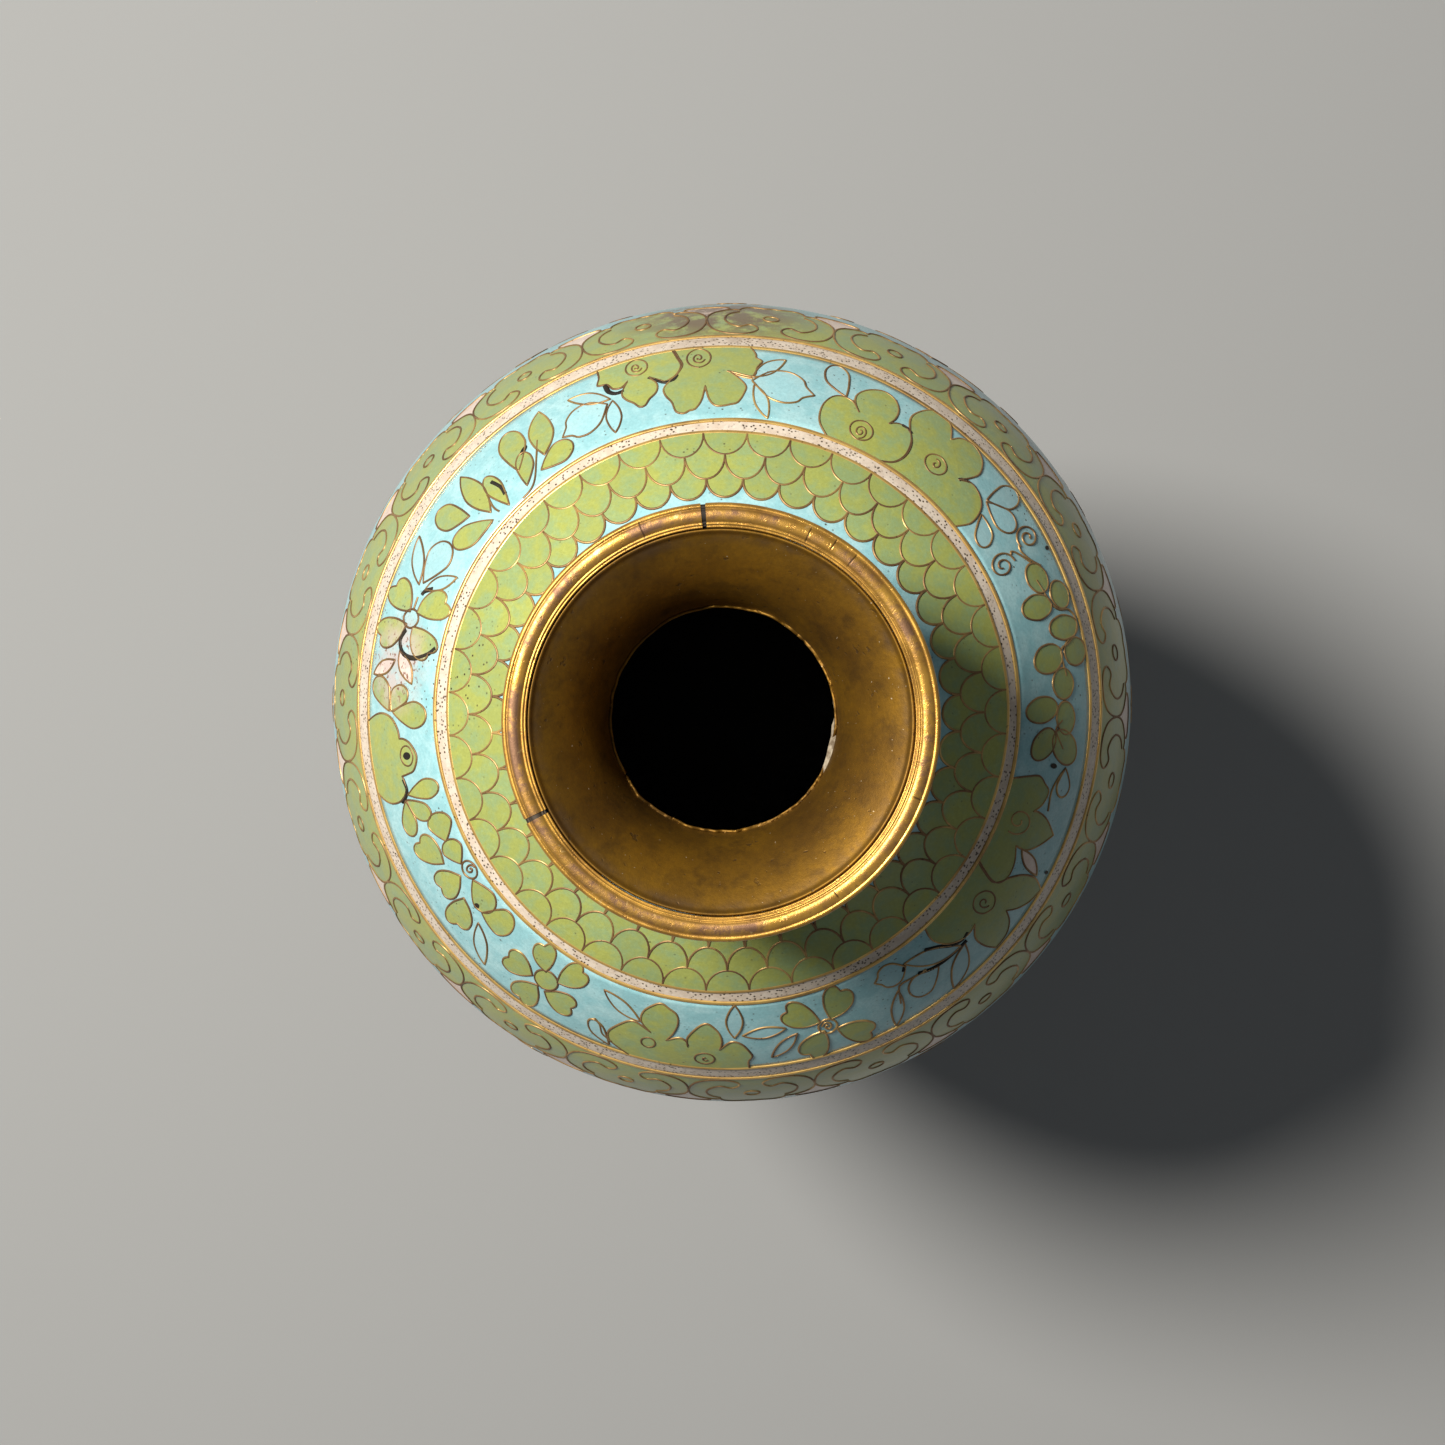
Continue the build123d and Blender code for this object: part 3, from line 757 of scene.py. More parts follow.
blossoms = [on_band_line(outline, True) for outline in (
    # Pair of lobed blossoms, cut off by the neck-side ring wire
    ((39.3, 0.0), (39.3, 0.0), (37.8, 0.20), (38.6, 0.42), (40.7, 0.53), (43.2, 0.55), (45.0, 0.46),
     (45.0, 0.46), (43.6, 0.62), (43.3, 0.75), (44.6, 0.89), (47.0, 0.955), (49.3, 0.91), (50.5, 0.80),
     (50.5, 0.80), (52.0, 0.96), (54.0, 0.99), (55.9, 0.97), (57.6, 0.82), (57.9, 0.70), (57.0, 0.57),
     (57.0, 0.57), (55.4, 0.42), (55.1, 0.24), (56.2, 0.09), (58.7, 0.0), (58.7, 0.0)),
    ((58.9, 0.0), (58.9, 0.0), (56.4, 0.09), (55.3, 0.24), (55.6, 0.42), (56.7, 0.54), (58.4, 0.57),
     (59.6, 0.55), (60.7, 0.49), (60.7, 0.49), (60.1, 0.60), (60.4, 0.73), (61.8, 0.83), (63.9, 0.86),
     (66.2, 0.79), (67.6, 0.68), (67.6, 0.57), (66.4, 0.46), (66.4, 0.46), (67.9, 0.55), (69.8, 0.57),
     (71.5, 0.52), (72.6, 0.39), (72.7, 0.24), (72.0, 0.12), (70.1, 0.0), (70.1, 0.0)),
    # Big leafy bloom and its smaller neighbour, hanging from the outer ring wire
    ((86.6, 1.0), (86.6, 1.0), (85.6, 0.90), (85.4, 0.84), (84.4, 0.80), (85.1, 0.71), (85.7, 0.58),
     (89.8, 0.64), (89.8, 0.64), (86.9, 0.46), (87.0, 0.34), (88.0, 0.22), (89.3, 0.19), (90.8, 0.17),
     (92.2, 0.18), (93.3, 0.27), (93.9, 0.45), (93.9, 0.45), (94.7, 0.26), (96.0, 0.15), (97.0, 0.14),
     (98.2, 0.11), (99.6, 0.15), (100.1, 0.28), (101.0, 0.38), (101.2, 0.48), (100.1, 0.56), (98.7, 0.63),
     (98.7, 0.63), (97.5, 0.76), (98.0, 0.88), (98.6, 1.0), (98.6, 1.0)),
    ((98.9, 1.0), (98.9, 1.0), (98.3, 0.88), (97.8, 0.76), (98.8, 0.64), (100.7, 0.58), (102.0, 0.63),
     (103.4, 0.68), (103.4, 0.68), (102.2, 0.57), (102.6, 0.46), (104.0, 0.39), (105.0, 0.32),
     (106.0, 0.32), (106.8, 0.39), (108.0, 0.47), (108.4, 0.57), (106.9, 0.71), (106.9, 0.71),
     (108.2, 0.65), (109.6, 0.67), (110.4, 0.76), (111.9, 0.79), (111.3, 0.89), (111.2, 1.0), (111.2, 1.0)),
    # Bell-shaped blossom with a dark mouth
    ((182.0, 1.0), (182.0, 1.0), (180.8, 0.86), (180.6, 0.74), (181.4, 0.62), (183.2, 0.54), (184.9, 0.52),
     (184.9, 0.52), (185.0, 0.46), (185.9, 0.37), (188.2, 0.30), (190.6, 0.37), (191.2, 0.48), (191.4, 0.56),
     (191.4, 0.56), (193.6, 0.54), (195.3, 0.63), (195.7, 0.78), (194.9, 0.90), (193.2, 1.0), (193.2, 1.0)),
    # Three joined blossoms under the outer ring wire
    ((250.2, 0.86), (250.2, 0.86), (249.6, 0.74), (250.4, 0.62), (252.2, 0.48), (253.8, 0.46), (256.6, 0.55),
     (256.6, 0.55), (254.5, 0.42), (254.4, 0.28), (255.6, 0.17), (257.3, 0.10), (259.0, 0.15), (260.6, 0.22),
     (261.0, 0.36), (260.4, 0.50), (259.4, 0.62), (259.4, 0.62), (261.6, 0.55), (263.0, 0.60), (263.2, 0.67),
     (263.2, 0.67), (263.0, 0.54), (264.2, 0.40), (265.6, 0.31), (266.8, 0.31), (268.4, 0.42), (269.0, 0.56),
     (268.6, 0.68), (268.6, 0.68), (270.6, 0.56), (272.4, 0.60), (273.6, 0.72), (274.0, 0.80), (273.3, 0.88),
     (273.4, 1.0), (273.4, 1.0), (254.4, 1.0), (254.4, 1.0)),
    # Pair of pointed blossoms, cut off by the neck-side ring wire
    ((312.6, 0.0), (312.6, 0.0), (312.0, 0.20), (313.4, 0.38), (315.7, 0.48), (317.6, 0.50), (319.3, 0.47),
     (319.3, 0.47), (317.5, 0.62), (317.5, 0.80), (318.4, 0.95), (318.4, 0.95), (321.2, 0.93), (323.2, 0.84),
     (324.3, 0.71), (324.3, 0.71), (325.6, 0.83), (327.6, 0.93), (330.1, 0.98), (330.1, 0.98), (331.3, 0.82),
     (331.0, 0.66), (329.8, 0.52), (328.0, 0.40), (328.0, 0.40), (327.3, 0.30), (328.4, 0.10), (329.3, 0.0),
     (329.3, 0.0)),
    ((329.6, 0.0), (329.6, 0.0), (328.6, 0.12), (327.6, 0.28), (327.8, 0.40), (329.6, 0.46), (332.2, 0.44),
     (335.1, 0.35), (335.1, 0.35), (335.0, 0.50), (336.4, 0.64), (339.0, 0.79), (339.0, 0.79), (341.2, 0.62),
     (342.0, 0.48), (341.9, 0.40), (341.9, 0.40), (343.4, 0.49), (345.9, 0.53), (347.2, 0.45), (348.3, 0.36),
     (347.9, 0.20), (347.0, 0.0), (347.0, 0.0)),
)]
pale_leaves = [leaf(*given) for given in (
    ("drop", (39.1, 0.56), (36.3, 0.95), 1.6), ("drop", (38.9, 0.54), (32.1, 0.62), 1.5),
    ("drop", (37.8, 0.38), (32.6, 0.16), 1.25), ("drop", (69.3, 0.58), (73.3, 0.93), 1.55),
    ("bud", (85.7, 0.52), (74.6, 0.46), 2.3), ("lance", (85.7, 0.57), (80.6, 0.86), 0.9),
    ("lance", (85.3, 0.47), (82.1, 0.04), 0.95), ("lance", (110.6, 0.55), (117.3, 0.78), 0.85),
    ("lance", (110.3, 0.52), (111.7, 0.10), 1.1), ("bud", (111.4, 0.50), (121.0, 0.36), 2.1),
    ("lance", (157.8, 0.57), (150.7, 0.88), 0.95), ("drop", (157.2, 0.52), (148.9, 0.44), 1.85),
    ("lance", (158.2, 0.46), (153.5, 0.12), 0.9), ("lance", (220.4, 0.50), (226.3, 0.88), 0.95),
    ("drop", (250.4, 0.93), (246.0, 0.66), 0.95), ("lance", (254.4, 0.43), (246.2, 0.17), 0.85),
    ("lance", (271.2, 0.50), (271.5, 0.02), 1.2), ("lance", (272.7, 0.47), (280.4, 0.43), 0.85),
    ("lance", (282.2, 0.54), (277.2, 0.84), 0.8), ("lance", (301.4, 0.50), (298.0, 0.96), 0.85),
    ("drop", (309.6, 0.55), (302.9, 0.66), 1.75), ("bud", (305.0, 0.26), (298.5, 0.24), 1.75),
    ("lance", (305.0, 0.22), (314.8, 0.54), 1.2), ("lance", (315.6, 0.56), (309.0, 0.96), 1.15),
    ("drop", (350.3, 0.70), (345.4, 0.73), 1.0),
)]
rose_leaves = [leaf(*given) for given in (
    ("lance", (169.6, 0.57), (175.1, 0.34), 0.95), ("lance", (171.4, 0.62), (174.3, 0.92), 0.85),
    ("lance", (334.9, 0.45), (331.8, 0.82), 0.8),
)]
rings = [leaf("oval", *given) for given in (
    ((47.7, 0.40), (52.0, 0.40), 1.35), ((62.3, 0.24), (66.7, 0.24), 1.4),
    ((92.8, 0.84), (96.7, 0.84), 1.45), ((103.2, 0.86), (106.8, 0.86), 1.25),
    ((186.2, 0.44), (189.8, 0.44), 1.0), ((209.7, 0.14), (213.4, 0.14), 1.05),
    ((255.3, 0.71), (257.7, 0.71), 0.85), ((264.5, 0.83), (267.8, 0.83), 0.95),
    ((286.0, 0.55), (289.3, 0.55), 1.15), ((321.2, 0.38), (325.6, 0.38), 1.6),
    ((162.1, 0.52), (165.4, 0.52), 1.2),
)]
coils = [spiral(*given) for given in (
    ((30.0, 0.74), 1.75, 1.7, 250, 1), ((27.9, 0.25), 1.95, 1.7, 95, -1), ((49.9, 0.40), 0.75, 1.0, 60, 1),
    ((64.6, 0.22), 1.0, 1.5, 260, -1), ((94.8, 0.84), 0.85, 1.4, 200, 1),
    ((105.1, 0.86), 0.75, 1.4, 200, 1), ((211.6, 0.13), 0.75, 1.2, 270, -1),
    ((287.6, 0.55), 0.75, 1.3, 200, 1), ((339.5, 0.25), 2.1, 1.4, 205, -1),
    ((323.4, 0.38), 0.9, 1.0, 90, 1), ((266.2, 0.83), 0.45, 0.8, 30, 1),
)]
stems = [on_band_line(spots) for spots in (
    ((365.9, 0.66), (370.1, 0.63), (371.2, 0.76), (372.6, 0.89), (374.6, 0.94), (376.4, 0.88),
     (377.0, 0.74), (378.4, 0.66), (380.4, 0.62), (383.0, 0.58)),
    ((384.9, 0.72), (386.6, 0.62), (388.6, 0.56), (389.6, 0.575)),
    ((386.2, 0.61), (388.0, 0.53), (389.0, 0.48), (389.4, 0.44), (388.9, 0.42)),
    ((85.7, 0.55), (87.6, 0.57), (90.1, 0.64)), ((45.0, 0.46), (43.2, 0.55)), ((66.2, 0.45), (68.0, 0.57)),
    ((125.1, 0.52), (126.9, 0.34), (129.2, 0.14), (131.2, 0.05), (133.6, 0.03)),
    ((353.5, 0.62), (356.6, 0.50), (358.4, 0.58)),
    ((342.6, 0.60), (345.9, 0.57), (348.4, 0.62), (350.1, 0.69)),
    ((300.6, 0.68), (301.6, 0.50), (302.6, 0.44), (305.6, 0.46), (307.6, 0.47)),
    ((250.6, 0.86), (248.8, 0.80), (247.8, 0.68), (246.6, 0.62)), ((159.8, 0.52), (161.9, 0.52)),
    ((138.0, 0.42), (138.8, 0.24), (138.6, 0.14)), ((176.0, 0.66), (180.2, 0.63)),
)]
green_cells = vine_leaves + spray_leaves + petals + blossoms
for name, cells, glass, slot, nodes, lift, seed in (
    ("flower_band_green_cells", green_cells, green, "green_enamel", ("flower_band_cells",), 0.08, 11),
    ("flower_band_pale_cells", pale_leaves, turquoise_leaf, "turquoise_enamel", (), 0.055, 12),
    ("flower_band_rose_cells", rose_leaves, rose, "white_enamel", (), 0.055, 13),
):
    inlay_glass(name, 1, flower_radius, cells, glass, slot, nodes, lift=lift * MM, seed=seed)
flower_loops = green_cells + pale_leaves + rose_leaves + rings
inlay_wires("flower_drawing_wires", 1, flower_radius, coils + stems, flower_loops, ("flower_band_wires",),
            width=0.34 * MM)

# Where wires met, the solder burned into dark thick runs along them.
# The same dark brass also stands as painted shade in the open rim seams.
burnt_solder_and_seam_shade = brass("burnt_solder_and_seam_shade", (0.030, 0.026, 0.022), (0.060, 0.045, 0.032), (0.012, 0.010, 0.009),
                     0.4, 0.55)
burnt_runs = [on_band_line(spots) for spots in (
    ((43.6, 0.54), (44.6, 0.50), (45.0, 0.46)), ((56.4, 0.54), (57.4, 0.57), (58.6, 0.57)),
    ((98.6, 0.64), (99.3, 0.58), (100.7, 0.57), (102.0, 0.62), (103.4, 0.68)),
    ((108.0, 0.60), (109.4, 0.60), (110.5, 0.66), (110.7, 0.76)),
    ((135.6, 0.24), (135.3, 0.36), (135.9, 0.50)), ((157.4, 0.36), (158.4, 0.46), (159.2, 0.48)),
    ((165.8, 0.55), (168.0, 0.60), (170.0, 0.52), (170.4, 0.36), (169.2, 0.18), (167.6, 0.08)),
    ((192.0, 0.56), (193.8, 0.54), (194.9, 0.58), (195.7, 0.66)),
    ((306.0, 0.45), (308.6, 0.52), (312.0, 0.55), (316.2, 0.55)), ((305.0, 0.24), (304.2, 0.30)),
    ((309.6, 0.24), (312.0, 0.34), (314.0, 0.46), (316.0, 0.50)), ((316.0, 0.50), (317.4, 0.47)),
)]
inlay_wires("burnt_solder_runs", 1, flower_radius, burnt_runs, width=0.75 * MM, metal=burnt_solder_and_seam_shade)
pits = [leaf("oval", *given) for given in (
    ((187.3, 0.44), (188.7, 0.44), 0.6), ((217.3, 0.35), (218.4, 0.36), 0.45),
    ((350.0, 0.52), (350.9, 0.53), 0.5), ((26.6, 0.90), (27.3, 0.92), 0.3),
    ((332.6, 0.93), (333.2, 0.93), 0.3), ((127.1, 0.55), (129.0, 0.50), 0.3),
)]
inlay_glass("burnt_pits", 1, flower_radius, pits, burnt_solder_and_seam_shade, "wire_brass", lift=0.09 * MM, fineness=1)


# ---------------------------------------------------------------------------------------------------
# Body field. Six big blossoms in rose glass stand round the widest part, with leaf scrolls between them
# and small buds above and below. All of it is bent wire loops filled with glass, as on the shoulder.
belly_flower_count = 6
belly_middle = up_wall(118 * MM)
belly_flower_radius = wall_radius(belly_middle)


def flat_leaf(kind, root, tip, half_width):
    """Leaf or petal on the flat drawing, its ends given in mm from the middle of a motif."""
    run = Vector((tip[0] - root[0], tip[1] - root[1]))
    across = Vector((-run.y, run.x)).normalized()
    return leaf_outline(kind, lambda along, aside: Vector(root) + run * along + across * aside * half_width)


def ray(angle, reach):
    return reach * math.cos(math.radians(angle)), reach * math.sin(math.radians(angle))


def petal_ring(kind, count, inner, outer, half_width, first=90.0):
    angles = [first + 360 * i / count for i in range(count)]
    return [flat_leaf(kind, ray(angle, inner), ray(angle, outer), half_width) for angle in angles]


def moved(points, x_shift, y_shift):
    return [(x + x_shift, y + y_shift) for x, y in points]


def small_coil(middle, size, turns, start, hand):
    return moved(coil(size, turns, start, hand, round(turns * 12)), *middle)


def placed(shapes, middle, closed=True):
    """Smooth lines through shapes in mm about a middle given as a length round and a length up, in metres."""
    return [smooth_line([(middle[0] + x * MM, middle[1] + y * MM) for x, y in shape], closed, step=0.8 * MM)
            for shape in shapes]


def half_pitch(radius, count):
    """Half the way from one repeat of a drawing to the next, in mm."""
    return math.pi * radius / count * 1000


flower_middle = (0.0, belly_middle)
outer_petals = petal_ring("heart", 8, 9.6, 20.2, 6.3)
inner_petals = petal_ring("drop", 8, 4.2, 10.4, 2.35, first=112.5)
heart_ring = [ray(i * 30, 3.4) for i in range(12)]
petal_veins = [[ray(90 + 45 * i + bend, 11.0 + abs(bend) * 0.05),
                ray(90 + 45 * i + bend * 1.15, 16.4 - abs(bend) * 0.12)]
               for i in range(8) for bend in (-7, 0, 7)]
between_flowers = (math.pi * belly_flower_radius / belly_flower_count, belly_middle)
scroll_leaves = [flat_leaf(*given) for given in (
    ("drop", (0.4, -15.5), (-6.8, -9.0), 1.9), ("drop", (0.4, -15.5), (7.6, -10.5), 1.9),
    ("lance", (-1.6, -6.0), (-6.6, 1.4), 1.6), ("lance", (-1.4, -6.5), (4.6, -1.6), 1.6),
    ("lance", (1.7, 4.0), (7.0, 10.6), 1.6), ("lance", (1.6, 4.0), (-4.6, 8.4), 1.6),
    ("drop", (0.6, -20.0), (-8.6, -22.4), 1.9), ("drop", (0.6, -20.0), (9.2, -21.8), 1.9),
    ("drop", (0.0, 13.5), (-5.4, 17.6), 1.5), ("drop", (0.0, 13.5), (5.4, 17.8), 1.5),
)]
scroll_stem = [(3.0, -29.0), (1.2, -24.0), (0.4, -17.0), (-1.5, -9.0), (-1.4, -4.0), (1.2, 1.0), (1.8, 5.0),
               (0.2, 11.0), (0.0, 19.0)]
scroll_coils = [small_coil((-6.0, -28.6), 3.0, 1.6, 20, 1), small_coil((7.0, -28.4), 2.7, 1.6, 160, -1),
                small_coil((-6.6, 13.2), 1.7, 1.5, -20, 1), small_coil((6.8, 14.4), 1.6, 1.5, 200, -1)]
small_blossom = [moved(petal, 0, 24.0) for petal in petal_ring("heart", 5, 1.6, 5.0, 2.1)]
small_heart = moved([ray(i * 45, 1.5) for i in range(8)], 0, 24.0)
sprig_leaves = [flat_leaf(*given) for given in (
    ("drop", (0.0, 24.6), (-9.0, 28.0), 1.8), ("drop", (0.0, 24.6), (9.0, 28.0), 1.8),
    ("lance", (0.0, 23.6), (-12.6, 22.2), 1.5), ("lance", (0.0, 23.6), (12.6, 22.2), 1.5),
    ("drop", (0.0, -24.0), (-9.4, -26.6), 1.9), ("drop", (0.0, -24.0), (9.4, -26.6), 1.9),
    ("lance", (0.0, -26.4), (-7.6, -33.6), 1.7), ("lance", (0.0, -26.4), (7.6, -33.6), 1.7),
    ("lance", (0.0, -27.4), (0.0, -37.0), 1.8),
)]
sprig_buds = [flat_leaf("bud", (0.0, 25.6), (0.0, 34.0), 2.6)]
sprig_coils = [small_coil((-13.6, -31.8), 2.6, 1.6, 10, 1), small_coil((13.6, -31.8), 2.6, 1.6, 170, -1),
               small_coil((-14.4, 27.8), 2.0, 1.5, -10, 1), small_coil((14.4, 27.8), 2.0, 1.5, 190, -1)]

rose_outlines = placed(outer_petals, flower_middle)
deep_outlines = placed(inner_petals + sprig_buds, flower_middle) + placed(small_blossom, between_flowers)
yellow_outlines = placed([heart_ring], flower_middle)
green_outlines = placed(sprig_leaves, flower_middle) + placed(scroll_leaves, between_flowers)
for name, outlines, glass, slot, nodes in (
    ("belly_outer_petals", rose_outlines, rose, "rose_enamel", ("belly_flower_cells",)),
    ("belly_inner_petals", deep_outlines, deep_rose, "rose_enamel", ()),
    ("belly_flower_hearts", yellow_outlines, yellow, "rose_enamel", ()),
    ("belly_leaves", green_outlines, green, "green_enamel", ()),
):
    inlay_glass(name, belly_flower_count, belly_flower_radius, outlines, glass, slot, nodes, lift=0.07 * MM,
                seed=21)
belly_lines = placed(petal_veins + sprig_coils, flower_middle, False)
belly_lines += placed([scroll_stem] + scroll_coils, between_flowers, False)
belly_loops = rose_outlines + deep_outlines + yellow_outlines + green_outlines
belly_loops += placed([small_heart], between_flowers)
inlay_wires("belly_drawing_wires", belly_flower_count, belly_flower_radius, belly_lines, belly_loops,
            ("belly_flower_wires",), width=0.42 * MM, proud=0.17 * MM)


# ---------------------------------------------------------------------------------------------------
# Lappets. Sixteen upright tongues round the lower body, each a green border round a cream field with a
# rose bud; the narrow bands under them carry running scrolls and a row of pointed leaves on the foot.
lappet_count = 16
lappet_radius = wall_radius(up["lappet_bottom_wire"] + 6 * MM)
lappet_foot = (0.0, up["lappet_bottom_wire"])


def tongue(half_width, bottom, shoulder, top):
    """Outline of a lappet, in mm above the wire that it stands on."""
    right = [(half_width, bottom), (half_width, bottom), (half_width, shoulder),
             (half_width * 0.94, shoulder + 3.2), (half_width * 0.62, top - 3.4),
             (half_width * 0.20, top - 0.9), (0.0, top), (0.0, top)]
    return right[:1] + right + [(-x, y) for x, y in reversed(right[:-2])]


outer_tongue = tongue(6.4, 1.2, 13.5, 27.4)
inner_tongue = tongue(4.5, 2.8, 13.0, 23.4)
lappet_bud = flat_leaf("bud", (0.0, 9.4), (0.0, 20.6), 2.7)
lappet_leaves = [flat_leaf(*given) for given in (
    ("drop", (0.0, 8.8), (-3.5, 13.4), 1.25), ("drop", (0.0, 8.8), (3.5, 13.4), 1.25),
    ("drop", (0.0, 4.6), (-3.4, 7.8), 1.1), ("drop", (0.0, 4.6), (3.4, 7.8), 1.1))]
lappet_stem = [(0.0, 3.2), (0.0, 9.4)]
gap = half_pitch(lappet_radius, lappet_count)
gap_bud = moved(flat_leaf("drop", (0.0, 29.4), (0.0, 22.8), 1.6), gap, 0)
gap_coils = [small_coil((gap + side * 2.6, 29.0), 1.5, 1.4, 90 + side * 80, -side) for side in (-1, 1)]
for name, shapes, glass, slot, nodes, lift in (
    ("lappet_borders", [outer_tongue], green, "green_enamel", ("lappet_cells",), 0.05),
    ("lappet_fields", [inner_tongue], cream, "white_enamel", (), 0.085),
    ("lappet_buds", [lappet_bud, gap_bud], deep_rose, "rose_enamel", (), 0.12),
    ("lappet_leaves", lappet_leaves, turquoise_leaf, "turquoise_enamel", (), 0.12),
):
    inlay_glass(name, lappet_count, lappet_radius, placed(shapes, lappet_foot), glass, slot, nodes,
                lift=lift * MM, seed=31)
inlay_wires("lappet_drawing_wires", lappet_count, lappet_radius,
            placed([lappet_stem] + gap_coils, lappet_foot, False),
            placed([outer_tongue, inner_tongue, lappet_bud, gap_bud] + lappet_leaves, lappet_foot),
            ("lappet_wires",), width=0.42 * MM, proud=0.20 * MM)


def inlay_motif(part, count, radius, middle, shapes, lines, glass, slot, glass_name, width, seed):
    """Glass in the shapes of a motif, and wires along these and its open lines."""
    loops = placed(shapes, middle)
    inlay_glass(glass_name, count, radius, loops, glass, slot, lift=0.07 * MM, seed=seed)
    inlay_wires(part + "_drawing_wires", count, radius, placed(lines, middle, False), loops, width=width,
                proud=0.16 * MM)


ankle_count = 14
ankle_radius = wall_radius(up["foot_wire"] + 6 * MM)
gap = half_pitch(ankle_radius, ankle_count)
running_scroll = [(-gap, 0.0), (-gap * 0.6, 2.6), (0.0, 0.0), (gap * 0.6, -2.6), (gap, 0.0)]
ankle_coils = [small_coil((-gap * 0.55, -1.2), 2.5, 1.7, 90, 1),
               small_coil((gap * 0.55, 1.2), 2.5, 1.7, 270, 1)]
ankle_leaves = [flat_leaf("drop", (0.0, 0.0), tip, 1.2) for tip in ((-1.0, 5.0), (1.0, -5.0))]
inlay_motif("ankle", ankle_count, ankle_radius, (0.0, (up["foot_wire"] + up["ankle_wire"]) / 2), ankle_leaves,
            [running_scroll] + ankle_coils, green, "green_enamel", "ankle_leaves", 0.40 * MM, 41)

foot_count = 20
foot_radius = wall_radius(10 * MM)
gap = half_pitch(foot_radius, foot_count)
foot_leaves = [flat_leaf("lance", (0.0, 1.6), (0.0, 19.4), 3.4),
               flat_leaf("drop", (gap, 21.0), (gap, 15.4), 1.3)]
foot_veins = [[(0.0, 2.2), (0.0, 13.0)], [(0.0, 5.0), (-1.6, 8.6)], [(0.0, 5.0), (1.6, 8.6)]]
inlay_motif("foot", foot_count, foot_radius, (0.0, up["foot"]), foot_leaves, foot_veins, turquoise,
            "turquoise_enamel", "foot_leaves", 0.40 * MM, 51)

# On the neck, under the flare, small cloud scrolls between the scale collar and the brass rim.
neck_count = 8
neck_middle = up_wall(208 * MM)
cloud = [(-4.6, -2.2), (-4.6, -2.2), (-5.2, 0.4), (-3.4, 1.8), (-2.0, 1.2), (-2.0, 1.2), (-1.2, 3.4),
         (1.2, 3.4), (2.0, 1.2), (2.0, 1.2), (3.4, 1.8), (5.2, 0.4), (4.6, -2.2), (4.6, -2.2)]
cloud_coils = [small_coil((-3.0, -0.2), 1.2, 1.3, 200, -1), small_coil((3.0, -0.2), 1.2, 1.3, -20, 1),
               small_coil((0.0, 1.2), 1.2, 1.3, 250, -1)]
cloud_leaf = flat_leaf("lance", (0.0, -2.8), (0.0, -8.6), 1.3)
inlay_motif("neck", neck_count, wall_radius(neck_middle), (0.0, neck_middle), [cloud, cloud_leaf],
            cloud_coils, cream, "white_enamel", "neck_clouds", 0.36 * MM, 61)


# ---------------------------------------------------------------------------------------------------
# Brass mouth. A spun funnel is fitted into the neck; its thin lower end is left as cut, a little ragged.
# Two lengths of fluted rim are soldered over the lip and butt at two open seams; the dark in the seam gaps is
# painted shade.
def stretched(tree, places, scale):
    return put(tree, "ShaderNodeVectorMath", {0: places, 1: scale}, operation="MULTIPLY")


def off_axis(tree, places):
    """Distance of a point from the axis of the vase."""
    flat_place = stretched(tree, places, (1.0, 1.0, 0.0))
    return put(tree, "ShaderNodeVectorMath", {0: flat_place}, operation="LENGTH").outputs["Value"]


def between(tree, value, low, high, soft):
    """1 inside a range and 0 outside it, with soft ends."""
    rising = put(tree, "ShaderNodeMapRange", {"Value": value, "From Min": low - soft, "From Max": low + soft})
    return times(tree, rising, fade(tree, value, high - soft, high + soft))


rim_brass, tree, shader, places = new_material("worn_rim_brass")
radius = off_axis(tree, places)
streaks = stretched(tree, places, (1.0, 1.0, 0.25))
colour = blend(tree, blotches(tree, streaks, 210, 6, 0.36, 0.62), (0.62, 0.345, 0.062), (0.40, 0.205, 0.042))
land = between(tree, radius, 24.35 * MM, 25.75 * MM, 0.22 * MM)
browning = blotches(tree, streaks, 130, 8, 0.43, 0.57, roughness=0.78, seed=0.6)
colour = blend(tree, times(tree, browning, land), colour, (0.120, 0.062, 0.045), 0.88)
scuffs = blotches(tree, places, 900, 4, 0.58, 0.70, roughness=0.8, seed=5.0)
colour = blend(tree, scuffs, colour, (0.11, 0.055, 0.03), 0.55)
shine = blotches(tree, places, 640, 3, 0.64, 0.74, seed=7.7)
colour = blend(tree, shine, colour, (0.95, 0.68, 0.30), 0.5)
dirt = 0.0
for groove in (25.83, 24.13, 23.75):
    line = between(tree, radius, (groove - 0.03) * MM, (groove + 0.03) * MM, 0.05 * MM)
    dirt = maths(tree, "MAXIMUM", dirt, line)
patchy = blotches(tree, places, 160, 4, 0.30, 0.60, seed=9.0)
colour = blend(tree, times(tree, dirt, patchy), colour, (0.045, 0.022, 0.010), 0.85)
spot = put(tree, "ShaderNodeSeparateXYZ", {0: places}).outputs
turned_to = maths(tree, "ARCTAN2", spot["Y"], spot["X"])
nicks = 0.0
for angle, first, last in ((51.0, 24.2, 25.9), (57.6, 24.6, 26.0), (65.0, 24.0, 25.8), (112.2, 23.9, 26.1),
                           (-21.0, 24.9, 25.9), (-56.0, 24.4, 25.4)):
    across = between(tree, turned_to, (angle - 0.22) * DEGREE, (angle + 0.22) * DEGREE, 0.14 * DEGREE)
    along = between(tree, radius, first * MM, last * MM, 0.2 * MM)
    nicks = maths(tree, "MAXIMUM", nicks, times(tree, across, along))
colour = blend(tree, nicks, colour, (0.05, 0.025, 0.012), 0.8)
dull = put(tree, "ShaderNodeMapRange", {"Value": browning, "To Min": 0.30, "To Max": 0.50})
grain = blotches(tree, places, 760, 7, 0.2, 0.8, roughness=0.75, seed=4.0)
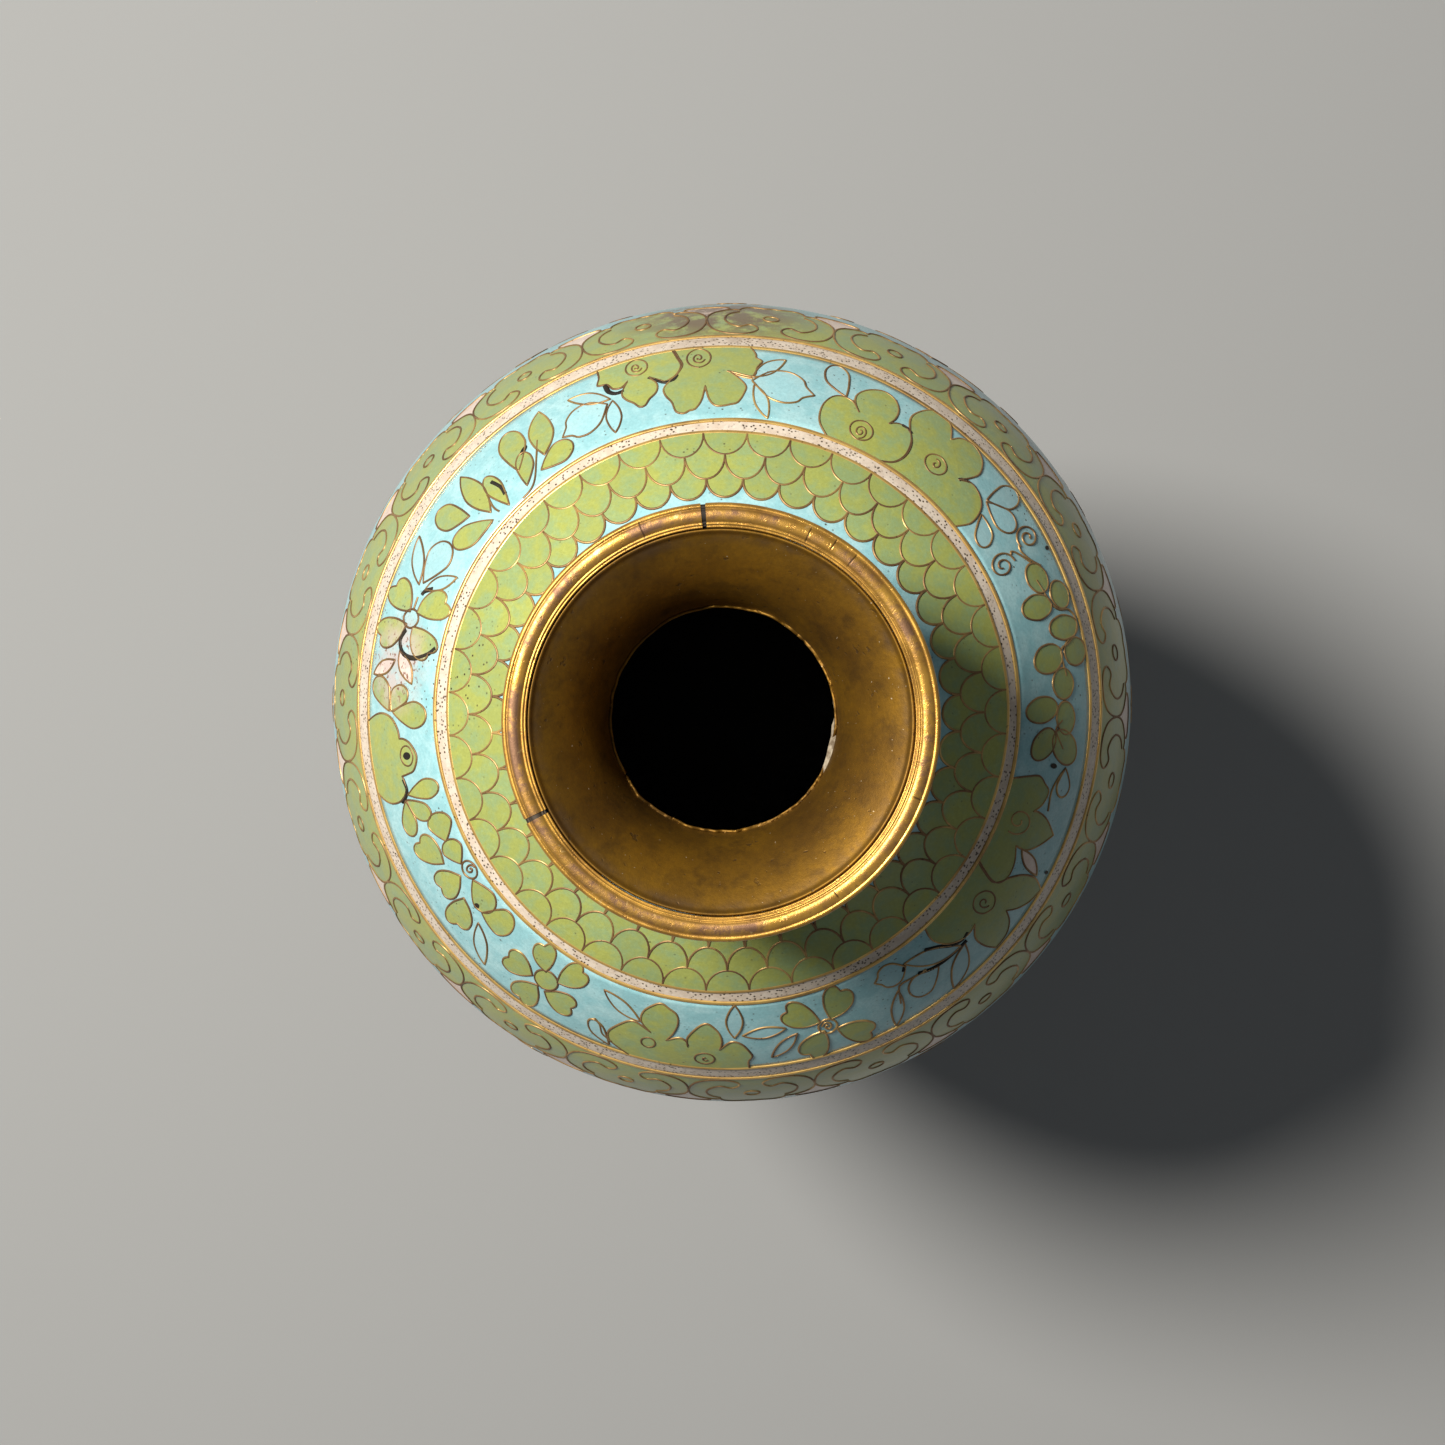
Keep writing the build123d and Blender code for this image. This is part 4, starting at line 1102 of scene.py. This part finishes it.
relief = maths(tree, "SUBTRACT", grain, maths(tree, "ADD", nicks, scuffs))
surface(tree, shader, colour, dull, relief, 0.30, 0.10 * MM, metallic=0.72)
paint(rim_brass, "foot_rim")

# Layers of wear over the funnel's brown: the pattern of each, its colour and its strength.
funnel_brass, tree, shader, places = new_material("browned_funnel_brass")
colour = blend(tree, blotches(tree, places, 75, 6, 0.34, 0.66), (0.250, 0.125, 0.009), (0.120, 0.058, 0.008))
spots = blotches(tree, places, 620, 3, 0.66, 0.72, seed=3.1)
edge_grime = between(tree, off_axis(tree, places), 21.9 * MM, 22.9 * MM, 0.5 * MM)
for layer, shade, strength in (
    (blotches(tree, places, 260, 7, 0.50, 0.72, roughness=0.7, seed=1.3), (0.045, 0.024, 0.009), 0.6),
    (blotches(tree, stretched(tree, places, (1.0, 1.0, 0.10)), 1500, 3, 0.30, 0.75, seed=2.0),
     (0.060, 0.032, 0.010), 0.3),
    (spots, (0.055, 0.035, 0.020), 0.6),
    (blotches(tree, places, 1900, 2, 0.73, 0.77, seed=6.4), (0.62, 0.50, 0.34), 0.8),
    (times(tree, edge_grime, blotches(tree, places, 330, 6, 0.38, 0.62, seed=8.1)),
     (0.10, 0.062, 0.035), 0.55),
):
    colour = blend(tree, layer, colour, shade, strength)
grain = blotches(tree, places, 520, 7, 0.2, 0.8, roughness=0.7, seed=4.4)
surface(tree, shader, colour, 0.54, maths(tree, "SUBTRACT", grain, spots), 0.32, 0.14 * MM, metallic=0.75)

rim_middle = (25.0 * MM, 229.0 * MM)
rim_section = [
    # Outer side with its bead
    (24.70, 227.25), (26.10, 227.75), (26.34, 228.20), (26.47, 228.70), (26.48, 229.15), (26.40, 229.50),
    (26.22, 229.74), (26.00, 229.80), (25.86, 229.70), (25.80, 229.68),
    # Broad land
    (25.70, 229.80), (25.40, 229.93), (24.95, 229.99), (24.50, 229.93), (24.24, 229.80),
    # Two fine flutes and the inner side
    (24.13, 229.60), (24.04, 229.66), (23.93, 229.70), (23.83, 229.63), (23.75, 229.42), (23.67, 229.48),
    (23.58, 229.50), (23.50, 229.42), (23.47, 229.20), (23.60, 228.30), (24.0, 227.8),
]
section = drawing("rim_section", (), [
    [(r * MM - rim_middle[0], rim_middle[1] - z * MM) for r, z in rim_section]])
rim_length, given, result = new_tree("rim_length", (
    ("Section", "Object"), ("Section size", "Float"), ("First angle", "Float"), ("Sweep", "Float"),
    ("Steps", "Int"), ("Unevenness", "Float"), ("Brass", "Material")))
arc = put(rim_length, "GeometryNodeCurveArc", {
    "Resolution": given["Steps"], "Radius": rim_middle[0], "Start Angle": given["First angle"],
    "Sweep Angle": given["Sweep"]}, mode="RADIUS")
level = put(rim_length, "GeometryNodeTransform", {"Geometry": arc.outputs["Curve"],
                                                  "Translation": (0.0, 0.0, rim_middle[1])})
upright = put(rim_length, "GeometryNodeSetCurveNormal", {"Curve": level}, mode="Z_UP")
outline = put(rim_length, "GeometryNodeObjectInfo", {"Object": given["Section"]})
profile = put(rim_length, "GeometryNodeMeshToCurve", {"Mesh": outline.outputs["Geometry"]})
section_scale = put(rim_length, "ShaderNodeCombineXYZ", {
    "X": given["Section size"], "Y": given["Section size"], "Z": 1.0})
sized = put(rim_length, "GeometryNodeTransform", {"Geometry": profile, "Scale": section_scale})
strip = put(rim_length, "GeometryNodeCurveToMesh", {"Curve": upright, "Profile Curve": sized,
                                                    "Fill Caps": True})
uneven = waver(rim_length, strip, 190.0, 3.0, 0.62, given["Unevenness"])
finish_tree(rim_length, result, uneven, given["Brass"])

short_start, long_start = 94.7, 206.9
long_sweep = 360.0 - long_start + short_start
seam_gap = 1.3
for name, start, sweep, size, metal, nodes in (
    ("mouth_rim_short", short_start, long_start - short_start, 1.0, rim_brass, ("mouth_rim_short_length",)),
    ("mouth_rim_long", long_start, long_sweep, 1.0, rim_brass, ("mouth_rim_long_length",)),
    # Painted shade: a dark, slightly smaller length of rim under each open seam, so that the gap reads dark.
    ("short_seam_solder", short_start - 2.5, 5.0, 0.90, burnt_solder_and_seam_shade, ()),
    ("long_seam_solder", long_start - 2.5, 5.0, 0.90, burnt_solder_and_seam_shade, ()),
):
    gap = seam_gap if nodes else 0.0
    piece = make_with(rim_length, name, {
        "Section": section, "Section size": size, "First angle": (start + gap / 2) * DEGREE,
        "Sweep": (sweep - gap) * DEGREE, "Steps": max(8, round(sweep * 1.5)), "Unevenness": 0.07 * MM,
        "Brass": metal})
    keep(piece, "rim_brass", *nodes)
bpy.data.objects.remove(section)

# The funnel's line runs from its rounded upper edge down to the throat, so that its good face is inside.
funnel_sheet = 0.35 * MM
funnel_round = 18.65 * MM
throat_turn = math.radians(1)
edge_turn = math.radians(57.6)
funnel_line = [(23.42 * MM, 228.60 * MM), (23.40 * MM, 228.95 * MM), (23.30 * MM, 229.12 * MM),
               (23.14 * MM, 229.14 * MM), (23.00 * MM, 228.95 * MM)]
arc_points = 60
for i in range(arc_points):
    turn = edge_turn + (throat_turn - edge_turn) * i / (arc_points - 1)
    funnel_line.append((neck_radius + neck_round - funnel_round * math.cos(turn),
                        neck_height + funnel_round * math.sin(turn)))
funnel_length = sum(math.dist(a, b) for a, b in zip(funnel_line, funnel_line[1:]))
funnel_guide = drawing("funnel_guide", [[(r, 0.0, z) for r, z in funnel_line]])
funnel = make_with(turned, "spun_funnel", {
    "Wall line": funnel_guide, "Lowest length": 0.0, "Highest length": funnel_length,
    "Thickness": funnel_sheet, "Steps round": steps_round, "Steps up": 90, "Waviness": 0.16 * MM,
    "Ragged end": 5.0 * MM, "Enamel": funnel_brass})
keep(funnel, "funnel_brass", "neck_funnel")
bpy.data.objects.remove(funnel_guide)

# A thin flap of the sheet is left turned in at the torn lower edge, bright where it was cut.
cut_brass, tree, shader, places = new_material("bright_cut_brass")
colour = blend(tree, blotches(tree, places, 900, 4, 0.35, 0.62), (0.30, 0.25, 0.18), (0.09, 0.06, 0.03))
for label, value in (("Base Color", colour), ("Metallic", 0.2), ("Roughness", 0.6)):
    feed(tree, shader.inputs[label], value)
tear = random.Random(5)
tear_spacing = 6
tear_depths = [tear.uniform(0.05, 0.50) * MM for _ in range(9)]
flap_steps = 48
flap_first, flap_last = -31.0, 13.0
flap_root = funnel_line[-1][0] + funnel_sheet
flap_height = funnel_line[-1][1] + 2.2 * MM
flap_points, flap_faces = [], []
for i in range(flap_steps + 1):
    angle = (flap_first + (flap_last - flap_first) * i / flap_steps) * DEGREE
    swell = math.sin(math.pi * i / flap_steps) ** 0.6
    before, share = divmod(i, tear_spacing)
    share /= tear_spacing
    after = min(before + 1, len(tear_depths) - 1)
    reach = 0.33 * MM + swell * (tear_depths[before] * (1 - share) + tear_depths[after] * share)
    for radius, height in ((flap_root, flap_height + 0.5 * MM), (flap_root - reach, flap_height),
                           (flap_root - reach, flap_height - 0.12 * MM), (flap_root, flap_height + 0.3 * MM)):
        flap_points.append((radius * math.cos(angle), radius * math.sin(angle), height))
    if i:
        first = 4 * (i - 1)
        flap_faces += [(first + k, first + (k + 1) % 4, first + 4 + (k + 1) % 4, first + 4 + k)
                       for k in range(4)]
flap_faces += [(3, 2, 1, 0), tuple(4 * flap_steps + k for k in range(4))]
flap = mesh_object("torn_funnel_edge", flap_points, [], flap_faces)
flap.data.materials.append(cut_brass)
keep(flap, "funnel_brass")


# ---------------------------------------------------------------------------------------------------
# Plain pale floor, soft light from the upper left, and the view down into the mouth.
floor = mesh_object("floor", [(-3, -3, 0), (3, -3, 0), (3, 3, 0), (-3, 3, 0)], [], [(0, 1, 2, 3)])
floor_paint, tree, shader, places = new_material("pale_floor")
shader.inputs["Base Color"].default_value = (0.27, 0.27, 0.27, 1.0)
shader.inputs["Roughness"].default_value = 0.8
floor.data.materials.append(floor_paint)

world = bpy.data.worlds.new("soft_room")
world.use_nodes = True
background = world.node_tree.nodes["Background"]
background.inputs["Color"].default_value = (0.90, 0.95, 1.0, 1.0)
background.inputs["Strength"].default_value = 0.12
bpy.context.scene.world = world
bpy.context.scene.view_settings.view_transform = "Standard"


def area_light(name, spot, aim, size, power, colour):
    data = bpy.data.lights.new(name, "AREA")
    data.shape = "DISK"
    data.size = size
    data.energy = power
    data.color = colour
    made = in_scene(name, data)
    made.location = spot
    made.rotation_euler = (Vector(aim) - Vector(spot)).to_track_quat("-Z", "Y").to_euler()


area_light("window", (-0.490, 0.290, 1.04), (0, 0, 0.17), 0.30, 23.0, (1.0, 0.97, 0.90))
area_light("fill", (0.9, -0.9, 0.9), (0, 0, 0.12), 0.9, 0.55, (0.95, 0.98, 1.0))

lens_length = 71.6
tilt = 0.039
view_distance = 0.345
lean = Vector((0.48 * tilt, 0.876 * tilt, 1.0))
mouth_centre = Vector((0, 0, vase_height))
nudge = Vector((0.00022, 0.00005, 0))
camera_data = bpy.data.cameras.new("camera")
camera_data.lens = lens_length
camera_data.clip_start = 0.01
camera = in_scene("camera", camera_data)
back = lean.normalized()
right = Vector((0, 1, 0)).cross(back).normalized()
upwards = back.cross(right)
camera.matrix_world = Matrix.Translation(mouth_centre + lean * view_distance + nudge) @ Matrix(
    (right, upwards, back)).transposed().to_4x4()
bpy.context.scene.camera = camera

bpy.data.objects.remove(wall_guide)
